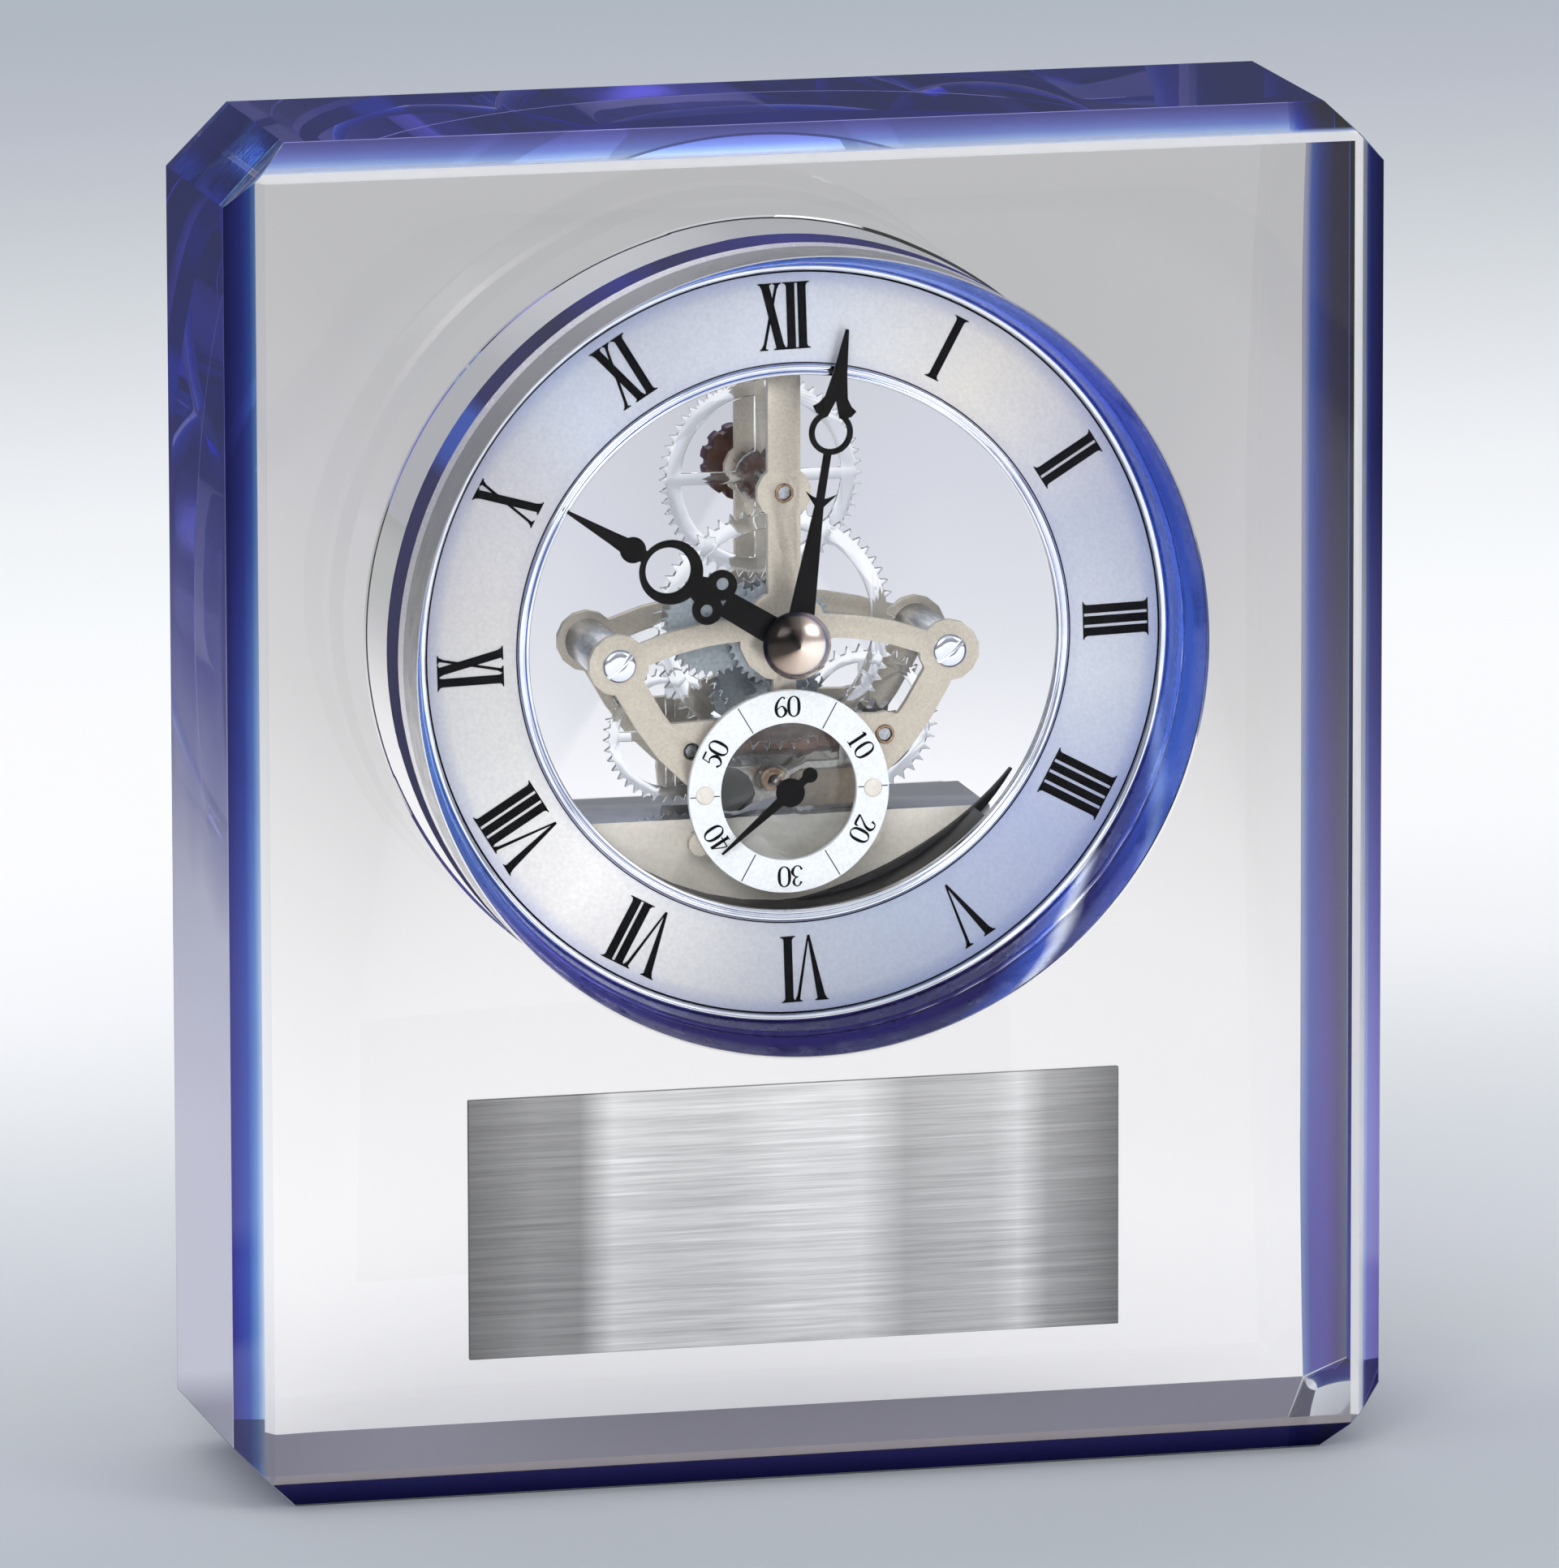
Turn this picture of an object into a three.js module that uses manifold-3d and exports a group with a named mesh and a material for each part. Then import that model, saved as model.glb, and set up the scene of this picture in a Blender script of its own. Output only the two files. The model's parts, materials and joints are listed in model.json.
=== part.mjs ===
// Crystal desk clock: a bevelled glass block with a skeleton clock set in its bore.
// Millimetres; +X to the viewer's right, +Y away from the viewer, +Z up.
// The origin is the middle of the face that the block stands on.
import * as THREE from "three";
import { ConvexGeometry } from "three/addons/geometries/ConvexGeometry.js";
import { mergeVertices } from "three/addons/utils/BufferGeometryUtils.js";
import Module from "manifold-3d";

const wasm = await Module();
wasm.setup();

// Glass block
const BLOCK_WIDTH = 152.4;
const BLOCK_HEIGHT = 177;
const BLOCK_DEPTH = 43.5;
const EDGE_BEVEL = 3.5;
const CORNER_CUT = 8;
const BORE_RADIUS = 52;
const BORE_FROM_TOP = 69;
const BORE_EDGE_BREAK = 0.5;

// Nameplate
const NAMEPLATE_WIDTH = 86;
const NAMEPLATE_HEIGHT = 34;
const NAMEPLATE_THICKNESS = 0.8;
const NAMEPLATE_X = -3;
const NAMEPLATE_BELOW_BORE = 3.2;

// Clearances, and how far joined shapes reach into each other
const JOIN_DEPTH = 0.3;
const FIT_GAP = 0.3;
const RUN_GAP = 0.4;

// Depths behind the block's front face
const BEZEL_FRONT = 0.8;
const LENS_FRONT = 6;
const LENS_THICKNESS = 1.2;
const BEZEL_LIP_FRONT = 10.9;
const DIAL_FRONT = 11.4;
const DIAL_THICKNESS = 1;
const BEZEL_BACK = 13;
const SECONDS_DIAL_FRONT = 14.4;
const SECONDS_DIAL_THICKNESS = 0.8;
const FRONT_PLATE_FRONT = 16.6;
const PLATE_THICKNESS = 1.2;
const COVER_THICKNESS = 1.5;

// Case of the insert
const BEZEL_WALL = 1.7;
const BEZEL_EDGE = 0.25;
const LENS_SEAT = 0.7;
const BARREL_WALL = 1.4;
const BARREL_LENGTH = 27.5;
const BARREL_FLANGE = 3.5;
const SPACER_LENGTH = 4.4;
const GASKET_LENGTH = 9.4;

// Dial
const DIAL_OPENING_RADIUS = 35.6;
const DIAL_LIP_RADIUS = 48.6;
const DIAL_TURN = 1.7;
const NUMERAL_RADIUS = 42.7;
const NUMERAL_HEIGHT = 8.7;
const NUMERAL_STROKE = 1;
const NUMERAL_RAISE = 0.12;
const RIM_WIDTH = 1.4;

// Seconds dial
const SECONDS_DROP = 20;
const SECONDS_DIAL_RADIUS = 13.3;
const SECONDS_DIAL_OPENING = 9;
const SECONDS_PIN_RADIUS = 1.2;
const PIN_RAISE = 0.2;

// Movement plates
const PILLAR_X = 21.9;
const PILLAR_Z = -2.9;
const PILLAR_RADIUS = 3;
const BOSS_RADIUS = 4;
const ARM_WIDTH = 4.3;
const ARM_TOP = 46.5;
const SIDE_ARM_WIDTH = 3;
const LOBE_WIDTH = 4;
const HUB_RADIUS = 6;
const LOWER_ARM_LENGTH = 9;
const THIRD_BOSS_RADIUS = 3;
const STUD_BOSS_RADIUS = 2;
const POST_EAR_RADIUS = 1.6;
const BRIDGE_HALF_WIDTH = 11.3;
const SCREW_HEAD_RADIUS = 2.2;
const SCREW_HEAD_HEIGHT = 0.8;
const BUSH_RADIUS = 1.3;
const REAR_WINDOW_RADIUS = 8.4;
const BRIDGE_BELOW = 1.8;
const BRIDGE_ABOVE = 3.4;

// Arbor places, measured from the middle of the dial
const CENTRE = { x: 0, z: 0 };
const SECONDS = { x: 0, z: -SECONDS_DROP };
const SETTING = { x: 0, z: 18.7 };
const THIRD = { x: 13.3, z: -13.5 };
const MOTOR_WHEEL = { x: -12.3, z: -14.6 };
const MOTION = { x: -8.55, z: 1.2 };

// Tooth counts, driver first
const SECONDS_PINION_TEETH = 10;
const IDLER_TEETH = 14;
const FOURTH_WHEEL_TEETH = 40;
const FOURTH_PINION_TEETH = 12;
const THIRD_WHEEL_TEETH = 36;
const THIRD_PINION_TEETH = 12;
const CENTRE_WHEEL_TEETH = 60;
const SETTING_DRIVE_TEETH = 24;
const SETTING_WHEEL_TEETH = 56;
const CANNON_TEETH = 12;
const MINUTE_WHEEL_TEETH = 36;
const MINUTE_PINION_TEETH = 10;
const HOUR_WHEEL_TEETH = 40;
const SECONDS_WHEEL_TEETH = 50;
const MOTOR_PINION_TEETH = 10;
const MOTOR_WHEEL_TEETH = 40;

// Gear sizes that the tooth counts don't fix
const FOURTH_MODULE = 0.36;
const FOURTH_FROM_SECONDS = 10.2;
const MOTOR_WHEEL_RADIUS = 8.6;
const TOOTH_ADDENDUM = 0.8;
const TOOTH_DEDENDUM = 1.1;
const TOOTH_ROOT_SHARE = 0.6;
const WHEEL_THICKNESS = 0.9;
const PINION_OVERHANG = 0.4;

// Room between one layer of the movement and the next
const SECONDS_WHEEL_ROOM = 0.8;
const HOUR_WHEEL_ROOM = 1.3;
const MINUTE_WHEEL_ROOM = 0.3;
const CENTRE_WHEEL_ROOM = 1;
const COIL_ROOM = 0.2;
const THIRD_WHEEL_ROOM = 0.3;
const MOTOR_WHEEL_STEP = 0.8;
const SETTING_WHEEL_ROOM = 0.7;
const FOURTH_WHEEL_ROOM = 1.1;
const REAR_PLATE_ROOM = 2.5;
const COVER_ROOM = 2.6;

// Shafts
const ARBOR_RADIUS = 0.8;
const CENTRE_ARBOR_RADIUS = 1;
const HOUR_PIPE_RADIUS = 2.2;
const PIPE_WALL = 0.8;

// Hands, at the time in the photo
const MINUTE_HAND_ANGLE = 9.4;
const HOUR_HAND_ANGLE = -58.2;
const SECONDS_HAND_ANGLE = 229.8;
const MINUTE_HAND_LENGTH = 41.4;
const HOUR_HAND_LENGTH = 35.3;
const SECONDS_HAND_LENGTH = 11.9;
const SECONDS_HAND_TAIL = 4.7;
const HOUR_HAND_DEPTH = 10.4;
const MINUTE_HAND_DEPTH = 9.8;
const SECONDS_HAND_DEPTH = 13.6;
const SECONDS_BOSS_RADIUS = 1.5;
const SECONDS_BOSS_REACH = 0.5;
const HAND_THICKNESS = 0.4;
const DOME_RADIUS = 3.95;
const DOME_HEIGHT = 2;

// Battery box, with room for one AA cell
const BOX_FRONT = 20.5;
const BOX_TOP = -24.2;
const BOX_HALF_WIDTH = 28.3;
const BOX_WALL = 1.4;
const BOX_POST_X = 11.2;
const BOX_POST_Z = -26.8;
const BOX_POST_RADIUS = 1;
const CELL_TO_DOOR = 0.5;
const CONTACT_HALF_WIDTH = 4;
const CONTACT_THICKNESS = 0.4;
const SPRING_TIP_RADIUS = 1.6;
const SPRING_FOOT_RADIUS = 3.2;
const CELL_RADIUS = 7.1;
const CELL_LENGTH = 49.2;
const CELL_NUB_RADIUS = 2.7;
const CELL_NUB_LENGTH = 1;
const CELL_Z = -32.6;
const CELL_ROOM = 0.25;
const CONTACT_SPACE = 1.2;
const DOOR_HALF_WIDTH = 26.6;
const DOOR_BOTTOM = -40.2;
const DOOR_TOP = -25;
const DOOR_THICKNESS = 2.6;
const GRIP_WIDTH = 0.8;
const GRIP_LENGTH = 6;
const GRIP_PITCH = 2;
const ARC_SUPPORT_INNER = 35.4;
const ARC_SUPPORT_WALL = 1.6;

// Motor
const COIL_Z = -15.6;
const COIL_RADIUS = 1.7;
const COIL_LENGTH = 17;
const COIL_FLANGE_RADIUS = 2;
const STATOR_THICKNESS = 1;
const ROTOR = { x: -5.2, z: -21.1 };
const ROTOR_HOUSING_RADIUS = 2.8;
const ROTOR_HOUSING_REACH = 1.4;
const BOARD_LEFT = 3.4;
const BOARD_RIGHT = 11;
const BOARD_HEIGHT = 4.5;
const BOARD_THICKNESS = 0.8;

// Setting drum and knob
const DRUM_FLUTES = 12;
const DRUM_MODULE = 0.46;
const DRUM_LENGTH = 3.6;
const KNOB_RADIUS = 5;
const KNOB_THICKNESS = 3;
const KNOB_FLUTES = 12;

// How finely round shapes are cut
const LARGE_SEGMENTS = 48;
const SMALL_SEGMENTS = 14;
const SHAFT_SEGMENTS = 10;

// Materials

function glassMaterial() {
  return new THREE.MeshStandardMaterial({
    name: "optical_glass", color: 0xdfe8f2, roughness: 0.02, transparent: true, opacity: 0.35,
  });
}

function clearPlasticMaterial() {
  return new THREE.MeshStandardMaterial({
    name: "clear_plastic", color: 0xe8edf2, roughness: 0.1, transparent: true, opacity: 0.35,
  });
}

function metalMaterial(name, color, roughness) {
  return new THREE.MeshStandardMaterial({ name, color, roughness, metalness: 1 });
}

function plasticMaterial(name, color, roughness) {
  return new THREE.MeshStandardMaterial({ name, color, roughness, metalness: 0 });
}

const GLASS = glassMaterial();
const CLEAR_PLASTIC = clearPlasticMaterial();
const BRUSHED_STEEL = metalMaterial("brushed_steel", 0xb9bcc0, 0.35);
const POLISHED_CHROME = metalMaterial("polished_chrome", 0xd5d9de, 0.08);
const SATIN_SILVER = metalMaterial("satin_silver", 0xcfd5e6, 0.45);
const NICKEL = metalMaterial("matte_nickel", 0xcdc5b6, 0.45);
const BRONZE = metalMaterial("bronze", 0xa38c74, 0.4);
const STEEL = metalMaterial("turned_steel", 0xa9abb0, 0.25);
const BLACK_PAINT = metalMaterial("black_enamel", 0x1a1a1c, 0.45);
const PINK_SILVER = metalMaterial("polished_nickel", 0xe4d6ca, 0.1);
const BLACK_PLASTIC = plasticMaterial("black_plastic", 0x17171a, 0.5);
const BLUE_RUBBER = plasticMaterial("blue_rubber", 0x1a1650, 0.35);
const WHITE_PLASTIC = plasticMaterial("white_plastic", 0xe2dfe2, 0.4);
const BEIGE_PLASTIC = plasticMaterial("beige_plastic", 0xcfc7b6, 0.5);
const WHITE_PRINT = plasticMaterial("white_dial", 0xe9ecef, 0.5);
const BROWN_PLASTIC = plasticMaterial("brown_plastic", 0x5a3a30, 0.4);
const COPPER = metalMaterial("copper_winding", 0x8a5235, 0.4);
const GREEN_BOARD = plasticMaterial("circuit_board", 0x2f5a3c, 0.5);
const GREY_STATOR = metalMaterial("stator_steel", 0x6f7175, 0.4);
const CELL_JACKET = plasticMaterial("cell_jacket", 0x3d4a5c, 0.35);

// Places

function yAt(depth) {
  return depth - BLOCK_DEPTH / 2;
}

function distance(a, b) {
  return Math.hypot(a.x - b.x, a.z - b.z);
}

function direction(from, to) {
  return Math.atan2(to.z - from.z, to.x - from.x);
}

// The point at two given distances from a and b, on the left of the line from a to b
function meetingPoint(a, fromA, b, fromB) {
  const apart = distance(a, b);
  const along = (fromA ** 2 - fromB ** 2 + apart ** 2) / (2 * apart);
  const aside = Math.sqrt(fromA ** 2 - along ** 2);
  const turn = direction(a, b);
  return {
    x: a.x + along * Math.cos(turn) - aside * Math.sin(turn),
    z: a.z + along * Math.sin(turn) + aside * Math.cos(turn),
  };
}

function moduleFor(apart, teethA, teethB) {
  return (2 * apart) / (teethA + teethB);
}

// Solids

function toSolid(geometry) {
  const bare = geometry.clone();
  bare.deleteAttribute("normal");
  bare.deleteAttribute("uv");
  const merged = mergeVertices(bare, 1e-5);
  const index = merged.index.array;
  const kept = [];
  for (let i = 0; i < index.length; i += 3) {
    const [a, b, c] = [index[i], index[i + 1], index[i + 2]];
    if (a !== b && b !== c && c !== a) {
      kept.push(a, b, c);
    }
  }
  const mesh = new wasm.Mesh({
    numProp: 3,
    vertProperties: new Float32Array(merged.attributes.position.array),
    triVerts: new Uint32Array(kept),
  });
  return new wasm.Manifold(mesh);
}

function join(...solids) {
  return solids.reduce((whole, next) => whole.add(next));
}

function cut(solid, ...tools) {
  return tools.reduce((rest, tool) => rest.subtract(tool), solid);
}

function shift(geometry, place, y) {
  geometry.translate(place.x, y, BORE_HEIGHT + place.z);
  return geometry;
}

// A round bar along Y between two depths, at a place measured from the middle of the dial
function rod(place, front, back, radius, segments = SMALL_SEGMENTS) {
  const geometry = new THREE.CylinderGeometry(radius, radius, back - front, segments);
  return toSolid(shift(geometry, place, yAt((front + back) / 2)));
}

function box(xMin, xMax, front, back, zMin, zMax) {
  const geometry = new THREE.BoxGeometry(xMax - xMin, back - front, zMax - zMin);
  const middle = { x: (xMin + xMax) / 2, z: (zMin + zMax) / 2 };
  return toSolid(shift(geometry, middle, yAt((front + back) / 2)));
}

// A ring turned about Y from a closed outline of [radius, depth] points
function turned(place, outline, segments = LARGE_SEGMENTS) {
  const closed = [...outline, outline[0]].map(([r, depth]) => new THREE.Vector2(r, yAt(depth)));
  const area = THREE.ShapeUtils.area(closed);
  const points = area > 0 ? closed : closed.reverse();
  const geometry = new THREE.LatheGeometry(points, segments);
  return toSolid(shift(geometry, place, 0));
}

function tube(place, front, back, outer, inner, segments = SMALL_SEGMENTS) {
  return cut(rod(place, front, back, outer, segments), rod(place, front - 1, back + 1, inner, segments));
}

// A flat plate between two depths; the shape's x and y are the block's X and Z
function plate(shape, place, front, back, turn = 0) {
  const geometry = new THREE.ExtrudeGeometry(shape, {
    depth: back - front, bevelEnabled: false, curveSegments: 6,
  });
  geometry.rotateZ(turn);
  geometry.rotateX(Math.PI / 2);
  return toSolid(shift(geometry, place, yAt(back)));
}

function polygon(points) {
  return new THREE.Shape(points.map(([x, z]) => new THREE.Vector2(x, z)));
}

// A strip of even or tapering width along a smooth line through the points
function strip(points, startWidth, endWidth = startWidth, steps = 5) {
  const line = new THREE.SplineCurve(points.map(([x, z]) => new THREE.Vector2(x, z)));
  const left = [];
  const right = [];
  for (let i = 0; i <= steps; i += 1) {
    const t = i / steps;
    const at = line.getPoint(t);
    const along = line.getTangent(t);
    const half = (startWidth + (endWidth - startWidth) * t) / 2;
    left.push([at.x - along.y * half, at.y + along.x * half]);
    right.unshift([at.x + along.y * half, at.y - along.x * half]);
  }
  return polygon([...left, ...right]);
}

function toMesh(name, solid, material) {
  const result = solid.getMesh();
  const geometry = new THREE.BufferGeometry();
  const stride = result.numProp;
  const positions = new Float32Array((result.vertProperties.length / stride) * 3);
  for (let i = 0; i < positions.length / 3; i += 1) {
    positions.set(result.vertProperties.slice(i * stride, i * stride + 3), i * 3);
  }
  geometry.setAttribute("position", new THREE.BufferAttribute(positions, 3));
  geometry.setIndex(new THREE.BufferAttribute(new Uint32Array(result.triVerts), 1));
  geometry.computeVertexNormals();
  const mesh = new THREE.Mesh(geometry, material);
  mesh.name = name;
  return mesh;
}

// Gears

// Pointed clock teeth
function gearOutline(teeth, gearModule, toothAngle) {
  const pitch = (2 * Math.PI) / teeth;
  const tip = gearModule * (teeth / 2 + TOOTH_ADDENDUM);
  const root = gearModule * (teeth / 2 - TOOTH_DEDENDUM);
  const profile = [[root, -TOOTH_ROOT_SHARE / 2], [tip, 0], [root, TOOTH_ROOT_SHARE / 2]];
  const points = [];
  for (let i = 0; i < teeth; i += 1) {
    for (const [radius, share] of profile) {
      const angle = toothAngle + (i + share) * pitch;
      points.push([radius * Math.cos(angle), radius * Math.sin(angle)]);
    }
  }
  return polygon(points);
}

// Windows that leave a rim, a hub and four spokes
function spokeWindows(shape, inner, outer, spokeWidth) {
  for (let i = 0; i < 4; i += 1) {
    const middle = (i + 0.5) * (Math.PI / 2);
    const outerHalf = Math.PI / 4 - spokeWidth / 2 / outer;
    const innerHalf = Math.PI / 4 - spokeWidth / 2 / inner;
    const hole = new THREE.Path();
    hole.absarc(0, 0, outer, middle - outerHalf, middle + outerHalf, false);
    hole.absarc(0, 0, inner, middle + innerHalf, middle - innerHalf, true);
    hole.closePath();
    shape.holes.push(hole);
  }
  return shape;
}

// A gear at a place, with one tooth at the given angle
function gearAt(place, teeth, gearModule, front, thickness, toothAngle, windows) {
  const shape = gearOutline(teeth, gearModule, toothAngle);
  if (windows) {
    spokeWindows(shape, windows.inner, windows.outer, windows.spoke);
  }
  return plate(shape, place, front, front + thickness);
}

// A gear with one tooth pointing at the mating gear, or one gap if it is the mate
function gear(place, teeth, gearModule, front, thickness, mate, gapFirst, windows) {
  const toothAngle = direction(place, mate) + (gapFirst ? Math.PI / teeth : 0);
  return gearAt(place, teeth, gearModule, front, thickness, toothAngle, windows);
}

function pinion(place, teeth, gearModule, wheelFront, mate) {
  const front = wheelFront - PINION_OVERHANG;
  const thickness = WHEEL_THICKNESS + 2 * PINION_OVERHANG;
  return gear(place, teeth, gearModule, front, thickness, mate, true);
}

// The train's layout

const BORE_HEIGHT = BLOCK_HEIGHT - BORE_FROM_TOP;
const CENTRE_MODULE = moduleFor(distance(CENTRE, THIRD), CENTRE_WHEEL_TEETH, THIRD_PINION_TEETH);
const THIRD_MODULE = CENTRE_MODULE;
const FOURTH = meetingPoint(
  SECONDS,
  FOURTH_FROM_SECONDS,
  THIRD,
  (THIRD_MODULE * (THIRD_WHEEL_TEETH + FOURTH_PINION_TEETH)) / 2,
);
const IDLER = meetingPoint(
  SECONDS,
  (FOURTH_MODULE * (SECONDS_PINION_TEETH + IDLER_TEETH)) / 2,
  FOURTH,
  (FOURTH_MODULE * (IDLER_TEETH + FOURTH_WHEEL_TEETH)) / 2,
);
const SETTING_MODULE = moduleFor(SETTING.z, SETTING_DRIVE_TEETH, SETTING_WHEEL_TEETH);
const CANNON_MODULE = moduleFor(distance(CENTRE, MOTION), CANNON_TEETH, MINUTE_WHEEL_TEETH);
const HOUR_MODULE = moduleFor(distance(CENTRE, MOTION), MINUTE_PINION_TEETH, HOUR_WHEEL_TEETH);
const MOTOR_MODULE = moduleFor(
  distance(SECONDS, MOTOR_WHEEL), SECONDS_WHEEL_TEETH, MOTOR_PINION_TEETH,
);
const BARREL_OUTER = BORE_RADIUS - 2 * FIT_GAP;
const BARREL_INNER = BARREL_OUTER - BARREL_WALL;
const BEZEL_OUTER = BORE_RADIUS - FIT_GAP;
const INSIDE_RADIUS = BARREL_INNER - FIT_GAP;
const PIPE_BORE = HOUR_PIPE_RADIUS - PIPE_WALL;
const BARREL_BACK = BEZEL_BACK + BARREL_LENGTH;
const PLATE_BACK = FRONT_PLATE_FRONT + PLATE_THICKNESS;

// Depths through the movement, each from the layer in front of it
const SECONDS_WHEEL_DEPTH = PLATE_BACK + SECONDS_WHEEL_ROOM;
const HOUR_WHEEL_DEPTH = PLATE_BACK + HOUR_WHEEL_ROOM;
const MINUTE_WHEEL_DEPTH = HOUR_WHEEL_DEPTH + WHEEL_THICKNESS + MINUTE_WHEEL_ROOM;
const CENTRE_WHEEL_DEPTH = MINUTE_WHEEL_DEPTH + WHEEL_THICKNESS + CENTRE_WHEEL_ROOM;
const COIL_DEPTH = CENTRE_WHEEL_DEPTH + WHEEL_THICKNESS + COIL_ROOM + COIL_FLANGE_RADIUS;
const THIRD_WHEEL_DEPTH = COIL_DEPTH + COIL_FLANGE_RADIUS + THIRD_WHEEL_ROOM;
const MOTOR_WHEEL_DEPTH = THIRD_WHEEL_DEPTH + MOTOR_WHEEL_STEP;
const SETTING_WHEEL_DEPTH = THIRD_WHEEL_DEPTH + WHEEL_THICKNESS + SETTING_WHEEL_ROOM;
const FOURTH_WHEEL_DEPTH = SETTING_WHEEL_DEPTH + WHEEL_THICKNESS + FOURTH_WHEEL_ROOM;
const REAR_PLATE_FRONT = FOURTH_WHEEL_DEPTH + WHEEL_THICKNESS + REAR_PLATE_ROOM;
const REAR_PLATE_BACK = REAR_PLATE_FRONT + PLATE_THICKNESS;
const BRIDGE_FRONT = REAR_PLATE_FRONT - PLATE_THICKNESS;
const COVER_FRONT = REAR_PLATE_BACK + COVER_ROOM;
const CELL_DEPTH = BOX_FRONT + BOX_WALL + CELL_RADIUS + CELL_ROOM;
const BOX_BACK = CELL_DEPTH + CELL_RADIUS + CELL_ROOM + CELL_TO_DOOR;

// Glass block and nameplate

function crystalBlock() {
  const halfWidth = BLOCK_WIDTH / 2;
  const halfHeight = BLOCK_HEIGHT / 2;
  const halfDepth = BLOCK_DEPTH / 2;
  const points = [];
  for (const inset of [0, EDGE_BEVEL]) {
    const y = halfDepth - (EDGE_BEVEL - inset);
    const corners = [
      [halfWidth - inset, halfHeight - CORNER_CUT + inset],
      [halfWidth - CORNER_CUT + inset, halfHeight - inset],
    ];
    for (const [x, z] of corners) {
      for (const [sx, sy, sz] of signs()) {
        points.push(new THREE.Vector3(sx * x, sy * y, halfHeight + sz * z));
      }
    }
  }
  return cut(toSolid(new ConvexGeometry(points)), boreCutter());
}

function signs() {
  const all = [];
  for (const sx of [-1, 1]) {
    for (const sy of [-1, 1]) {
      for (const sz of [-1, 1]) {
        all.push([sx, sy, sz]);
      }
    }
  }
  return all;
}

function boreCutter() {
  const flare = BORE_RADIUS + BORE_EDGE_BREAK;
  return turned(CENTRE, [
    [0, -1],
    [flare + 1, -1],
    [flare, 0],
    [BORE_RADIUS, BORE_EDGE_BREAK],
    [BORE_RADIUS, BLOCK_DEPTH - BORE_EDGE_BREAK],
    [flare, BLOCK_DEPTH],
    [flare + 1, BLOCK_DEPTH + 1],
    [0, BLOCK_DEPTH + 1],
  ]);
}

function nameplate() {
  const left = NAMEPLATE_X - NAMEPLATE_WIDTH / 2;
  const top = -BORE_RADIUS - NAMEPLATE_BELOW_BORE;
  return box(left, left + NAMEPLATE_WIDTH, -NAMEPLATE_THICKNESS, 0, top - NAMEPLATE_HEIGHT, top);
}

// Case of the insert

function frontBezel() {
  const seat = BEZEL_OUTER - BEZEL_WALL;
  const lensBack = LENS_FRONT + LENS_THICKNESS;
  return turned(CENTRE, [
    [BEZEL_OUTER, BEZEL_FRONT],
    [BEZEL_OUTER, BEZEL_BACK],
    [INSIDE_RADIUS + FIT_GAP, BEZEL_BACK],
    [INSIDE_RADIUS + FIT_GAP, DIAL_FRONT],
    [DIAL_LIP_RADIUS, DIAL_FRONT],
    [DIAL_LIP_RADIUS, BEZEL_LIP_FRONT],
    [DIAL_LIP_RADIUS + 0.8, BEZEL_LIP_FRONT - 0.2],
    [seat, lensBack + 0.5],
    [seat, lensBack],
    [seat + LENS_SEAT, lensBack],
    [seat + LENS_SEAT, LENS_FRONT - 0.1],
    [BEZEL_OUTER - BEZEL_EDGE, BEZEL_FRONT],
  ]);
}

function frontLens() {
  const radius = BEZEL_OUTER - BEZEL_WALL + LENS_SEAT - FIT_GAP;
  return rod(CENTRE, LENS_FRONT, LENS_FRONT + LENS_THICKNESS, radius, LARGE_SEGMENTS);
}

function caseBarrel() {
  const shell = turned(CENTRE, [
    [BARREL_OUTER, BEZEL_BACK],
    [BARREL_OUTER, BARREL_BACK],
    [BARREL_INNER, BARREL_BACK],
    [BARREL_INNER, DIAL_FRONT + DIAL_THICKNESS + 1.6],
    [BARREL_INNER - BARREL_FLANGE, DIAL_FRONT + DIAL_THICKNESS + 1.6],
    [BARREL_INNER - BARREL_FLANGE, DIAL_FRONT + DIAL_THICKNESS],
    [INSIDE_RADIUS, DIAL_FRONT + DIAL_THICKNESS],
    [INSIDE_RADIUS, BEZEL_BACK],
  ]);
  const lug = box(-4, 4, PLATE_BACK, PLATE_BACK + 5, ARM_TOP - 4.5, BARREL_INNER + 0.5);
  return join(shell, lug);
}

// A thin ring between the barrel and the bore
function boreRing(front, back) {
  const inner = BARREL_OUTER + 0.02;
  const outer = BORE_RADIUS - 0.05;
  return turned(CENTRE, [[outer, front], [outer, back], [inner, back], [inner, front]]);
}

function caseSpacer() {
  return boreRing(BEZEL_BACK, BEZEL_BACK + SPACER_LENGTH);
}

function caseGasket() {
  const front = BEZEL_BACK + SPACER_LENGTH;
  return boreRing(front, front + GASKET_LENGTH);
}

function rearCover() {
  const back = COVER_FRONT + COVER_THICKNESS;
  const disc = rod(CENTRE, COVER_FRONT, back, INSIDE_RADIUS, LARGE_SEGMENTS);
  const doorway = box(
    -DOOR_HALF_WIDTH - FIT_GAP, DOOR_HALF_WIDTH + FIT_GAP,
    COVER_FRONT - 1, back + 1,
    DOOR_BOTTOM - FIT_GAP, DOOR_TOP + FIT_GAP,
  );
  return cut(disc, doorway, rod(SETTING, COVER_FRONT - 1, back + 1, ARBOR_RADIUS + RUN_GAP));
}

// Dial

// The ring with its raised hour numerals
function dialRing() {
  const back = DIAL_FRONT + DIAL_THICKNESS;
  const ring = cut(
    rod(CENTRE, DIAL_FRONT, back, INSIDE_RADIUS, LARGE_SEGMENTS),
    rod(CENTRE, DIAL_FRONT - 1, back + 1, DIAL_OPENING_RADIUS, LARGE_SEGMENTS),
  );
  return join(ring, ...hourNumerals());
}

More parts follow.
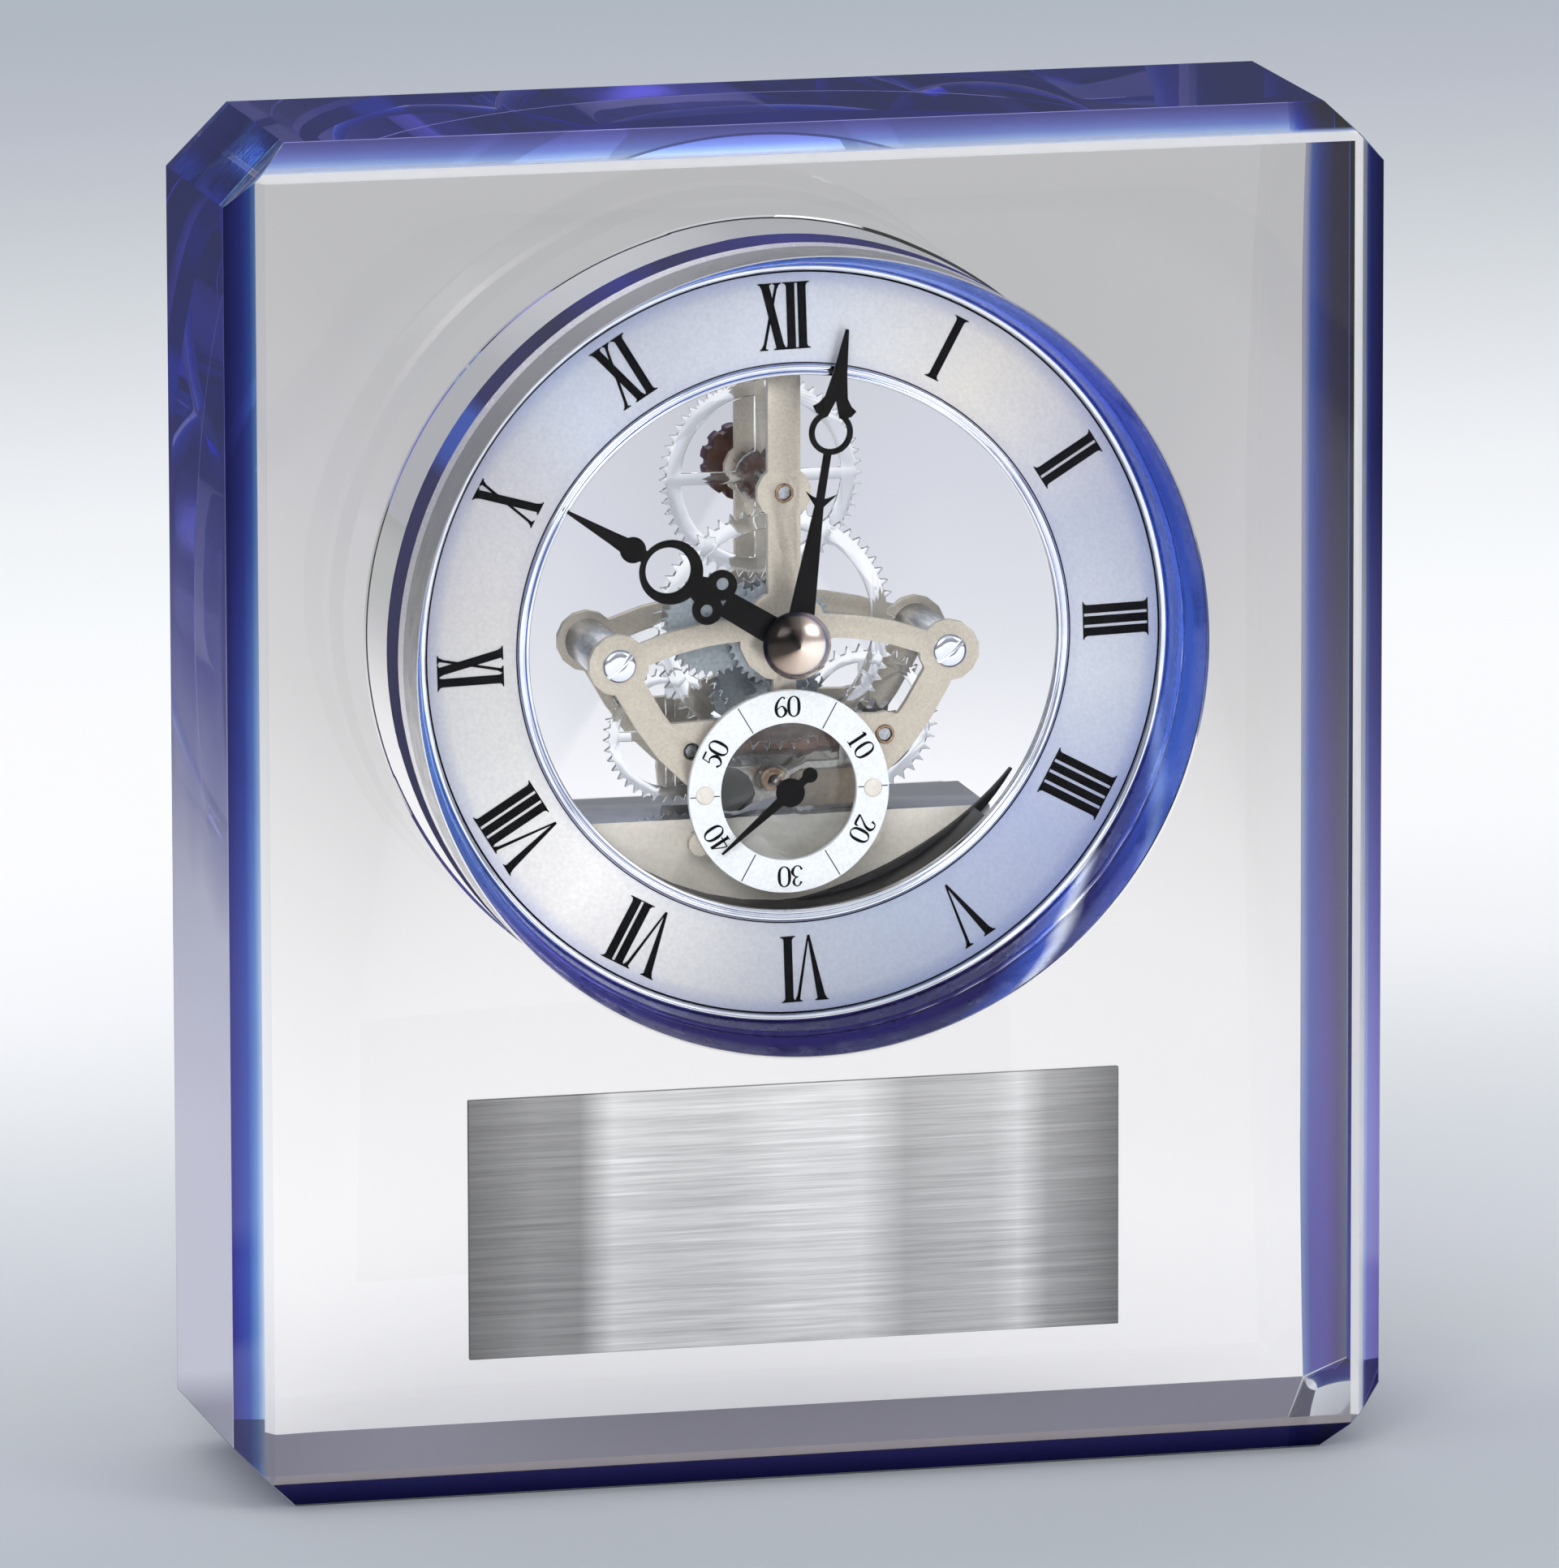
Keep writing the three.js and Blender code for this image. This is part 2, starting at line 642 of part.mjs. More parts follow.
function dialInnerRim() {
  const sleeve = DIAL_OPENING_RADIUS - 0.1;
  const inner = DIAL_OPENING_RADIUS - 0.6;
  return turned(CENTRE, [
    [inner + RIM_WIDTH, DIAL_FRONT - 0.3],
    [inner + RIM_WIDTH, DIAL_FRONT],
    [sleeve, DIAL_FRONT],
    [sleeve, DIAL_FRONT + DIAL_THICKNESS],
    [inner, DIAL_FRONT + DIAL_THICKNESS],
    [inner, DIAL_FRONT - 0.4],
  ]);
}

// One stroke of a numeral, level at both ends; x is its middle at the foot and at the head
function stroke(xFoot, xHead, width) {
  const half = width / 2;
  const foot = -NUMERAL_HEIGHT / 2;
  const head = NUMERAL_HEIGHT / 2;
  return polygon([
    [xFoot - half, foot], [xFoot + half, foot], [xHead + half, head], [xHead - half, head],
  ]);
}

const THIN_STROKE = NUMERAL_STROKE * 0.4;
const LETTERS = {
  I: { width: 1.9, shapes: (x) => [stroke(x, x, NUMERAL_STROKE)] },
  V: {
    width: 3.8,
    shapes: (x) => [stroke(x + 0.1, x - 1.3, NUMERAL_STROKE), stroke(x, x + 1.4, THIN_STROKE)],
  },
  X: {
    width: 4,
    shapes: (x) => [
      stroke(x + 1.3, x - 1.3, NUMERAL_STROKE), stroke(x - 1.3, x + 1.3, THIN_STROKE),
    ],
  },
};

function numeral(text, hour) {
  const letters = [...text].map((letter) => LETTERS[letter]);
  const total = letters.reduce((sum, letter) => sum + letter.width, 0);
  const turn = THREE.MathUtils.degToRad(DIAL_TURN - hour * 30);
  const place = {
    x: -NUMERAL_RADIUS * Math.sin(turn),
    z: NUMERAL_RADIUS * Math.cos(turn),
  };
  let x = -total / 2;
  const solids = [];
  for (const letter of letters) {
    for (const shape of letter.shapes(x + letter.width / 2)) {
      const front = DIAL_FRONT - NUMERAL_RAISE;
      solids.push(plate(shape, place, front, DIAL_FRONT + JOIN_DEPTH, turn));
    }
    x += letter.width;
  }
  return join(...solids);
}

function hourNumerals() {
  const texts = ["XII", "I", "II", "III", "IIII", "V", "VI", "VII", "VIII", "IX", "X", "XI"];
  return texts.map((text, hour) => numeral(text, hour));
}

// The black wall between the dial's opening and the battery box
function dialArcSupport() {
  const outer = ARC_SUPPORT_INNER + ARC_SUPPORT_WALL;
  const end = Math.asin(-BOX_TOP / ARC_SUPPORT_INNER);
  const shape = new THREE.Shape();
  shape.absarc(0, 0, outer, Math.PI + end, 2 * Math.PI - end, false);
  shape.absarc(0, 0, ARC_SUPPORT_INNER, 2 * Math.PI - end, Math.PI + end, true);
  shape.closePath();
  return plate(shape, CENTRE, DIAL_FRONT + DIAL_THICKNESS, BOX_FRONT);
}

// Seconds dial

// The ring with the two pins that stand it off the front plate
function secondsDial() {
  const back = SECONDS_DIAL_FRONT + SECONDS_DIAL_THICKNESS;
  const ring = tube(SECONDS, SECONDS_DIAL_FRONT, back, SECONDS_DIAL_RADIUS, SECONDS_DIAL_OPENING, 36);
  const across = (SECONDS_DIAL_RADIUS + SECONDS_DIAL_OPENING) / 2;
  const pins = [-across, across].map((x) => {
    const place = { x, z: SECONDS.z };
    return rod(place, SECONDS_DIAL_FRONT - PIN_RAISE, FRONT_PLATE_FRONT, SECONDS_PIN_RADIUS, 12);
  });
  return join(ring, ...pins);
}

// Movement plates

function plateOutline(front, back) {
  const flat = (shape) => plate(shape, CENTRE, front, back);
  const disc = (place, radius, segments = SMALL_SEGMENTS) => rod(place, front, back, radius, segments);
  const parts = [
    disc(CENTRE, HUB_RADIUS),
    flat(strip([[0, 0], [0, ARM_TOP]], ARM_WIDTH, ARM_WIDTH, 1)),
    disc(SETTING, ARM_WIDTH * 0.84),
    flat(strip([[0, 0], [0, -LOWER_ARM_LENGTH]], SIDE_ARM_WIDTH, SIDE_ARM_WIDTH, 1)),
    disc(SECONDS, SECONDS_DIAL_RADIUS - 0.6, 32),
    disc(THIRD, THIRD_BOSS_RADIUS),
    disc(FOURTH, STUD_BOSS_RADIUS),
  ];
  for (const side of [-1, 1]) {
    const shares = (points) => points.map(([x, z]) => [side * x * PILLAR_X, z * PILLAR_X]);
    const pillarPoint = [side * PILLAR_X, PILLAR_Z];
    const sideArm = shares([[0, 0.055], [0.274, 0.05], [0.557, 0.014], [0.776, -0.05]]);
    const lobe = shares([[0.85, -0.42], [0.65, -0.694], [0.41, -0.89]]);
    const web = shares([[0.776, -0.5], [0.41, -0.484], [0.365, -0.73], [0.616, -0.753]]);
    parts.push(disc({ x: side * PILLAR_X, z: PILLAR_Z }, BOSS_RADIUS));
    parts.push(disc({ x: side * BOX_POST_X, z: BOX_POST_Z }, POST_EAR_RADIUS, SHAFT_SEGMENTS));
    parts.push(flat(strip([...sideArm, pillarPoint], SIDE_ARM_WIDTH)));
    parts.push(flat(strip([pillarPoint, ...lobe], LOBE_WIDTH)));
    parts.push(flat(polygon(web)));
  }
  return join(...parts);
}

function secondsWindow(front, back, radius) {
  return rod(SECONDS, front - 1, back + 1, radius, 32);
}

function frontPlate() {
  const front = FRONT_PLATE_FRONT;
  const hole = (place, radius) => rod(place, front - 1, PLATE_BACK + 1, radius, SHAFT_SEGMENTS);
  return cut(
    plateOutline(front, PLATE_BACK),
    secondsWindow(front, PLATE_BACK, SECONDS_DIAL_OPENING + 0.8),
    hole(CENTRE, HOUR_PIPE_RADIUS + RUN_GAP),
    hole(SETTING, BUSH_RADIUS),
    hole(THIRD, BUSH_RADIUS),
    hole(MOTOR_WHEEL, ARBOR_RADIUS + RUN_GAP),
  );
}

function rearPlate() {
  const front = REAR_PLATE_FRONT;
  const back = REAR_PLATE_BACK;
  const hole = (place, radius) => rod(place, front - 1, back + 1, radius, SHAFT_SEGMENTS);
  const belowBox = box(-40, 40, front - 1, back + 1, -50, BOX_TOP + FIT_GAP);
  return cut(
    plateOutline(front, back),
    secondsWindow(front, back, REAR_WINDOW_RADIUS),
    hole(CENTRE, CENTRE_ARBOR_RADIUS + RUN_GAP),
    hole(SETTING, ARBOR_RADIUS + RUN_GAP),
    hole(THIRD, ARBOR_RADIUS + RUN_GAP),
    hole(MOTOR_WHEEL, ARBOR_RADIUS + RUN_GAP),
    belowBox,
  );
}

// Carries the seconds arbor's rear end and the idler's stud across the rear plate's window
function rearSecondsBridge() {
  const front = BRIDGE_FRONT;
  const low = SECONDS.z - BRIDGE_BELOW;
  const high = SECONDS.z + BRIDGE_ABOVE;
  const bar = box(-BRIDGE_HALF_WIDTH, BRIDGE_HALF_WIDTH, front, REAR_PLATE_FRONT, low, high);
  return cut(bar, rod(SECONDS, front - 1, REAR_PLATE_FRONT + 1, ARBOR_RADIUS + RUN_GAP));
}

function pillar(side) {
  return rod({ x: side * PILLAR_X, z: PILLAR_Z }, PLATE_BACK, REAR_PLATE_FRONT, PILLAR_RADIUS, 24);
}

function plateScrew(place, slotTurn) {
  const front = FRONT_PLATE_FRONT - SCREW_HEAD_HEIGHT;
  const head = turned(place, [
    [0, front], [SCREW_HEAD_RADIUS - 0.4, front], [SCREW_HEAD_RADIUS, front + 0.35],
    [SCREW_HEAD_RADIUS, FRONT_PLATE_FRONT], [0, FRONT_PLATE_FRONT],
  ], SMALL_SEGMENTS);
  const slot = polygon([[-3, -0.3], [3, -0.3], [3, 0.3], [-3, 0.3]]);
  return cut(head, plate(slot, place, front - 1, front + 0.45, slotTurn));
}

function bush(place) {
  return tube(place, FRONT_PLATE_FRONT - 0.2, PLATE_BACK, BUSH_RADIUS - 0.05, ARBOR_RADIUS + 0.15,
    SHAFT_SEGMENTS);
}

function motionStud() {
  return rod(MOTION, PLATE_BACK, MINUTE_WHEEL_DEPTH + WHEEL_THICKNESS + 0.2, ARBOR_RADIUS - 0.2,
    SHAFT_SEGMENTS);
}

function fourthStud() {
  return rod(FOURTH, THIRD_WHEEL_DEPTH - PINION_OVERHANG, REAR_PLATE_FRONT, ARBOR_RADIUS - 0.2,
    SHAFT_SEGMENTS);
}

function idlerStud() {
  return rod(IDLER, FOURTH_WHEEL_DEPTH - 0.2, BRIDGE_FRONT, ARBOR_RADIUS - 0.2, SHAFT_SEGMENTS);
}

// Motor

function motorCoil() {
  const half = COIL_LENGTH / 2;
  const along = (radius, from, to) => {
    const geometry = new THREE.CylinderGeometry(radius, radius, to - from, 16);
    geometry.rotateZ(-Math.PI / 2);
    return toSolid(shift(geometry, { x: (from + to) / 2, z: COIL_Z }, yAt(COIL_DEPTH)));
  };
  return join(
    along(COIL_RADIUS, -half, half),
    along(COIL_FLANGE_RADIUS, -half, -half + 0.8),
    along(COIL_FLANGE_RADIUS, half - 0.8, half),
  );
}

function motorStator() {
  const front = COIL_DEPTH - STATOR_THICKNESS / 2;
  const back = front + STATOR_THICKNESS;
  const outline = polygon([
    [-0.65, 0.094], [-0.506, 0.094], [-0.506, -0.17], [-0.13, -0.165], [0.13, -0.165],
    [0.506, -0.17], [0.506, 0.094], [0.65, 0.094], [0.594, -0.235], [0.294, -0.435],
    [-0.482, -0.47], [-0.594, -0.235],
  ].map(([x, z]) => [x * COIL_LENGTH, COIL_Z + z * COIL_LENGTH]));
  return cut(
    plate(outline, CENTRE, front, back),
    rod(SECONDS, front - 1, back + 1, BUSH_RADIUS + 0.5),
    rod(ROTOR, front - 1, back + 1, ROTOR_HOUSING_RADIUS - 0.6),
  );
}

function rotorHousing() {
  const middle = COIL_DEPTH;
  const half = STATOR_THICKNESS / 2;
  return join(
    rod(ROTOR, middle - half - ROTOR_HOUSING_REACH, middle - half, ROTOR_HOUSING_RADIUS),
    rod(ROTOR, middle - half - JOIN_DEPTH, middle + half + JOIN_DEPTH, ROTOR_HOUSING_RADIUS - 0.9),
    rod(ROTOR, middle + half, middle + half + ROTOR_HOUSING_REACH, ROTOR_HOUSING_RADIUS),
  );
}

function secondsBush() {
  const back = COIL_DEPTH + STATOR_THICKNESS / 2;
  return tube(SECONDS, COIL_DEPTH - 2.6, back, BUSH_RADIUS + 0.45, ARBOR_RADIUS + 0.15);
}

function circuitBoard() {
  const back = COIL_DEPTH - STATOR_THICKNESS / 2;
  const low = BOX_TOP + FIT_GAP;
  return box(BOARD_LEFT, BOARD_RIGHT, back - BOARD_THICKNESS, back, low, low + BOARD_HEIGHT);
}

// Battery box

function cellCavity() {
  const half = CELL_LENGTH / 2 + CELL_NUB_LENGTH + CONTACT_SPACE;
  const radius = CELL_RADIUS + CELL_ROOM;
  const round = new THREE.CylinderGeometry(radius, radius, 2 * half, 32);
  round.rotateZ(Math.PI / 2);
  const hollow = toSolid(shift(round, { x: 0, z: CELL_Z }, yAt(CELL_DEPTH)));
  return join(hollow, box(-half, half, CELL_DEPTH, BOX_BACK + 1, CELL_Z - radius, CELL_Z + radius));
}

function batteryBox() {
  const block = box(-BOX_HALF_WIDTH, BOX_HALF_WIDTH, BOX_FRONT, BOX_BACK, -INSIDE_RADIUS, BOX_TOP);
  const inside = rod(CENTRE, BOX_FRONT - 1, BOX_BACK + 1, INSIDE_RADIUS, LARGE_SEGMENTS);
  const posts = [-BOX_POST_X, BOX_POST_X].map((x) => {
    const place = { x, z: BOX_POST_Z };
    return rod(place, PLATE_BACK, BOX_FRONT + JOIN_DEPTH, BOX_POST_RADIUS, SHAFT_SEGMENTS);
  });
  return join(cut(block.intersect(inside), cellCavity()), ...posts);
}

function contactPlate(side) {
  const half = CELL_LENGTH / 2 + CELL_NUB_LENGTH + CONTACT_SPACE;
  const outer = side * half;
  const inner = side * (half - CONTACT_THICKNESS);
  const reach = CONTACT_HALF_WIDTH;
  return box(Math.min(outer, inner), Math.max(outer, inner), CELL_DEPTH - reach,
    CELL_DEPTH + reach, CELL_Z - reach, CELL_Z + reach);
}

// The cell's minus end rests on this cone of spring wire, here a plain cone
function contactSpring() {
  const half = CELL_LENGTH / 2 + CELL_NUB_LENGTH + CONTACT_SPACE - CONTACT_THICKNESS;
  const length = half - CELL_LENGTH / 2 - 0.1;
  const geometry = new THREE.CylinderGeometry(SPRING_TIP_RADIUS, SPRING_FOOT_RADIUS, length, 16);
  geometry.rotateZ(-Math.PI / 2);
  return toSolid(shift(geometry, { x: -half + length / 2, z: CELL_Z }, yAt(CELL_DEPTH)));
}

function batteryCell() {
  const bodyHalf = CELL_LENGTH / 2;
  const body = new THREE.CylinderGeometry(CELL_RADIUS, CELL_RADIUS, CELL_LENGTH, 32);
  const nub = new THREE.CylinderGeometry(CELL_NUB_RADIUS, CELL_NUB_RADIUS, CELL_NUB_LENGTH, 16);
  body.rotateZ(-Math.PI / 2);
  nub.rotateZ(-Math.PI / 2);
  shift(body, { x: 0, z: CELL_Z }, yAt(CELL_DEPTH));
  shift(nub, { x: bodyHalf + CELL_NUB_LENGTH / 2, z: CELL_Z }, yAt(CELL_DEPTH));
  return join(toSolid(body), toSolid(nub));
}

function batteryDoor() {
  const back = BOX_BACK + DOOR_THICKNESS;
  const panel = box(-DOOR_HALF_WIDTH, DOOR_HALF_WIDTH, BOX_BACK, back, DOOR_BOTTOM, DOOR_TOP);
  const half = GRIP_WIDTH / 2;
  const grip = (x) => box(x - half, x + half, back - half, back + 1,
    CELL_Z - GRIP_LENGTH / 2, CELL_Z + GRIP_LENGTH / 2);
  const grooves = [-2, -1, 0, 1, 2].map((place) => grip(place * GRIP_PITCH));
  return cut(panel, ...grooves);
}

// Moving pieces

function centreArbor() {
  return join(
    rod(CENTRE, MINUTE_HAND_DEPTH + HAND_THICKNESS, REAR_PLATE_BACK, CENTRE_ARBOR_RADIUS,
      SHAFT_SEGMENTS),
    cannonPinion(),
  );
}

function cannonPinion() {
  return gear(CENTRE, CANNON_TEETH, CANNON_MODULE, MINUTE_WHEEL_DEPTH - 0.1, WHEEL_THICKNESS + 0.2,
    MOTION, true);
}

function centreWheel() {
  const pitchRadius = (CENTRE_MODULE * CENTRE_WHEEL_TEETH) / 2;
  const wheel = gear(CENTRE, CENTRE_WHEEL_TEETH, CENTRE_MODULE, CENTRE_WHEEL_DEPTH, WHEEL_THICKNESS,
    THIRD, false, { inner: 3.4, outer: pitchRadius - 2.6, spoke: 1.6 });
  const hole = rod(CENTRE, CENTRE_WHEEL_DEPTH - 1, CENTRE_WHEEL_DEPTH + 2, CENTRE_ARBOR_RADIUS + 0.02,
    SHAFT_SEGMENTS);
  return cut(wheel, hole);
}

function settingDriveWheel() {
  const wheel = gear(CENTRE, SETTING_DRIVE_TEETH, SETTING_MODULE, SETTING_WHEEL_DEPTH - 0.1,
    WHEEL_THICKNESS + 0.2, SETTING, true);
  const hole = rod(CENTRE, SETTING_WHEEL_DEPTH - 1, SETTING_WHEEL_DEPTH + 2,
    CENTRE_ARBOR_RADIUS + 0.02, SHAFT_SEGMENTS);
  return cut(wheel, hole);
}

function hourPipe() {
  const front = HOUR_HAND_DEPTH + HAND_THICKNESS;
  const back = HOUR_WHEEL_DEPTH + WHEEL_THICKNESS;
  const pipe = rod(CENTRE, front, back, HOUR_PIPE_RADIUS);
  const wheel = gear(CENTRE, HOUR_WHEEL_TEETH, HOUR_MODULE, HOUR_WHEEL_DEPTH, WHEEL_THICKNESS,
    MOTION, false);
  return cut(join(pipe, wheel), rod(CENTRE, front - 1, back + 1, PIPE_BORE));
}

function minuteWheel() {
  const wheel = gear(MOTION, MINUTE_WHEEL_TEETH, CANNON_MODULE, MINUTE_WHEEL_DEPTH, WHEEL_THICKNESS,
    CENTRE, false);
  const leaves = gear(MOTION, MINUTE_PINION_TEETH, HOUR_MODULE, HOUR_WHEEL_DEPTH - 0.2,
    MINUTE_WHEEL_DEPTH - HOUR_WHEEL_DEPTH + 0.2 + JOIN_DEPTH, CENTRE, true);
  const bore = rod(MOTION, PLATE_BACK, MINUTE_WHEEL_DEPTH + 2, ARBOR_RADIUS - 0.05, SHAFT_SEGMENTS);
  return cut(join(wheel, leaves), bore);
}

function thirdArbor() {
  return join(
    rod(THIRD, FRONT_PLATE_FRONT + 0.2, REAR_PLATE_BACK, ARBOR_RADIUS, SHAFT_SEGMENTS),
    pinion(THIRD, THIRD_PINION_TEETH, CENTRE_MODULE, CENTRE_WHEEL_DEPTH, CENTRE),
  );
}

function thirdWheel() {
  const pitchRadius = (THIRD_MODULE * THIRD_WHEEL_TEETH) / 2;
  const wheel = gear(THIRD, THIRD_WHEEL_TEETH, THIRD_MODULE, THIRD_WHEEL_DEPTH, WHEEL_THICKNESS,
    FOURTH, false, { inner: 2.6, outer: pitchRadius - 2, spoke: 1.4 });
  return cut(wheel, rod(THIRD, THIRD_WHEEL_DEPTH - 1, THIRD_WHEEL_DEPTH + 2, ARBOR_RADIUS + 0.02,
    SHAFT_SEGMENTS));
}

// Lets the fourth wheel turn the same way as the seconds hand
function idlerWheel() {
  const wheel = gear(IDLER, IDLER_TEETH, FOURTH_MODULE, FOURTH_WHEEL_DEPTH, WHEEL_THICKNESS,
    SECONDS, false);
  return cut(wheel, rod(IDLER, FOURTH_WHEEL_DEPTH - 1, FOURTH_WHEEL_DEPTH + 2, ARBOR_RADIUS - 0.05,
    SHAFT_SEGMENTS));
}

// The fourth wheel's teeth stand where the idler's teeth leave room for them
function fourthToothAngle() {
  const towardsFourth = direction(IDLER, FOURTH);
  const idlerTooth = direction(IDLER, SECONDS) - towardsFourth;
  const fourthGap = towardsFourth + Math.PI - (idlerTooth * IDLER_TEETH) / FOURTH_WHEEL_TEETH;
  return fourthGap + Math.PI / FOURTH_WHEEL_TEETH;
}

function fourthWheel() {
  const leavesFront = THIRD_WHEEL_DEPTH - PINION_OVERHANG;
  const leavesBack = THIRD_WHEEL_DEPTH + WHEEL_THICKNESS + PINION_OVERHANG;
  const sleeveBack = FOURTH_WHEEL_DEPTH + WHEEL_THICKNESS;
  const leaves = gear(FOURTH, FOURTH_PINION_TEETH, THIRD_MODULE, leavesFront,
    leavesBack - leavesFront, THIRD, true);
  const sleeve = rod(FOURTH, leavesBack - JOIN_DEPTH, sleeveBack, 1.7);
  const wheel = gearAt(FOURTH, FOURTH_WHEEL_TEETH, FOURTH_MODULE, FOURTH_WHEEL_DEPTH,
    WHEEL_THICKNESS, fourthToothAngle());
  const bore = rod(FOURTH, leavesFront - 1, sleeveBack + 1, ARBOR_RADIUS - 0.05, SHAFT_SEGMENTS);
  return cut(join(leaves, sleeve, wheel), bore);
}

function secondsArbor() {
  return join(
    rod(SECONDS, SECONDS_HAND_DEPTH + HAND_THICKNESS, REAR_PLATE_FRONT, ARBOR_RADIUS - 0.1,
      SHAFT_SEGMENTS),
    pinion(SECONDS, SECONDS_PINION_TEETH, FOURTH_MODULE, FOURTH_WHEEL_DEPTH, IDLER),
  );
}

function secondsWheel() {
  const wheel = gear(SECONDS, SECONDS_WHEEL_TEETH, MOTOR_MODULE, SECONDS_WHEEL_DEPTH,
    WHEEL_THICKNESS - 0.1, MOTOR_WHEEL, false);
  return cut(wheel, rod(SECONDS, SECONDS_WHEEL_DEPTH - 1, SECONDS_WHEEL_DEPTH + 2,
    ARBOR_RADIUS - 0.08, SHAFT_SEGMENTS));
}

function motorArbor() {
  const thickness = WHEEL_THICKNESS + 0.2;
  return join(
    rod(MOTOR_WHEEL, FRONT_PLATE_FRONT + 0.4, REAR_PLATE_BACK, ARBOR_RADIUS, SHAFT_SEGMENTS),
    gear(MOTOR_WHEEL, MOTOR_PINION_TEETH, MOTOR_MODULE, SECONDS_WHEEL_DEPTH - 0.2, thickness,
      SECONDS, true),
  );
}

function motorWheel() {
  const gearModule = (2 * MOTOR_WHEEL_RADIUS) / MOTOR_WHEEL_TEETH;
  const wheel = gear(MOTOR_WHEEL, MOTOR_WHEEL_TEETH, gearModule, MOTOR_WHEEL_DEPTH, WHEEL_THICKNESS,
    ROTOR, false, { inner: 2.4, outer: MOTOR_WHEEL_RADIUS - 1.7, spoke: 1.2 });
  return cut(wheel, rod(MOTOR_WHEEL, MOTOR_WHEEL_DEPTH - 1, MOTOR_WHEEL_DEPTH + 2,
    ARBOR_RADIUS + 0.02, SHAFT_SEGMENTS));
}

function settingArbor() {
  const knobFront = COVER_FRONT + COVER_THICKNESS + RUN_GAP;
  return rod(SETTING, FRONT_PLATE_FRONT + 0.2, knobFront, ARBOR_RADIUS, SHAFT_SEGMENTS);
}

function settingWheel() {
  const pitchRadius = (SETTING_MODULE * SETTING_WHEEL_TEETH) / 2;
  const wheel = gear(SETTING, SETTING_WHEEL_TEETH, SETTING_MODULE, SETTING_WHEEL_DEPTH,
    WHEEL_THICKNESS, CENTRE, false, { inner: 3.4, outer: pitchRadius - 2.4, spoke: 1.5 });
  return cut(wheel, rod(SETTING, SETTING_WHEEL_DEPTH - 1, SETTING_WHEEL_DEPTH + 2,
    ARBOR_RADIUS + 0.02, SHAFT_SEGMENTS));
}

// A fluted brown drum behind the setting wheel
function settingDrum() {
  const front = SETTING_WHEEL_DEPTH + WHEEL_THICKNESS + 0.1;
  const drum = gear(SETTING, DRUM_FLUTES, DRUM_MODULE, front, DRUM_LENGTH, CENTRE, false);
  return cut(drum, rod(SETTING, front - 1, front + DRUM_LENGTH + 1, ARBOR_RADIUS + 0.02,
    SHAFT_SEGMENTS));
}

function settingKnob() {
  const front = COVER_FRONT + COVER_THICKNESS + RUN_GAP;
  const knob = rod(SETTING, front, front + KNOB_THICKNESS, KNOB_RADIUS, 24);
  const flutes = [];
  for (let i = 0; i < KNOB_FLUTES; i += 1) {
    const angle = (i / KNOB_FLUTES) * 2 * Math.PI;
    const place = {
      x: SETTING.x + KNOB_RADIUS * Math.cos(angle),
      z: SETTING.z + KNOB_RADIUS * Math.sin(angle),
    };
    flutes.push(rod(place, front - 1, front + KNOB_THICKNESS + 1, 0.6, 6));
  }
  return cut(knob, ...flutes);
}

// Hands

function handPlate(shapes, holes, depth, place, angleDegrees) {
  const turn = -THREE.MathUtils.degToRad(angleDegrees);
  const flat = (shape, front, back) => plate(shape, place, front, back, turn);
  const whole = join(...shapes.map((shape) => flat(shape, depth, depth + HAND_THICKNESS)));
  return cut(whole, ...holes.map((shape) => flat(shape, depth - 1, depth + 2)));
}

function circle(x, z, radius) {
  const shape = new THREE.Shape();
  shape.absarc(x, z, radius, 0, 2 * Math.PI, false);
  return shape;
}

// Shapes for a hand, drawn in hundredths of its length
function handShapes(length) {
  const unit = length / 100;
  return {
    disc: (x, z, radius) => circle(x * unit, z * unit, radius * unit),
    outline: (points) => polygon(points.map(([x, z]) => [x * unit, z * unit])),
  };
}

function minuteHand() {
  const { disc, outline } = handShapes(MINUTE_HAND_LENGTH);
  const shapes = [
    disc(0, 0, 8.2),
    outline([[-4.8, 0], [4.8, 0], [1.3, 45.7], [1.2, 62.6], [-1.2, 62.6], [-1.3, 45.7]]),
    outline([[-5.1, 48.3], [0, 46.1], [5.1, 48.3], [1.2, 43.7], [-1.2, 43.7]]),
    disc(0, 67.4, 7),
    outline([[-7, 74.9], [-3.4, 72.2], [3.4, 72.2], [7, 74.9], [3.6, 78.5], [0.5, 100],
      [-0.5, 100], [-3.6, 78.5]]),
  ];
  const holes = [
    disc(0, 67.4, 5.2),
    outline([[-2.4, 70.8], [2.4, 70.8], [0, 77.5]]),
    circle(0, 0, CENTRE_ARBOR_RADIUS + 0.02),
  ];
  return handPlate(shapes, holes, MINUTE_HAND_DEPTH, CENTRE, MINUTE_HAND_ANGLE);
}

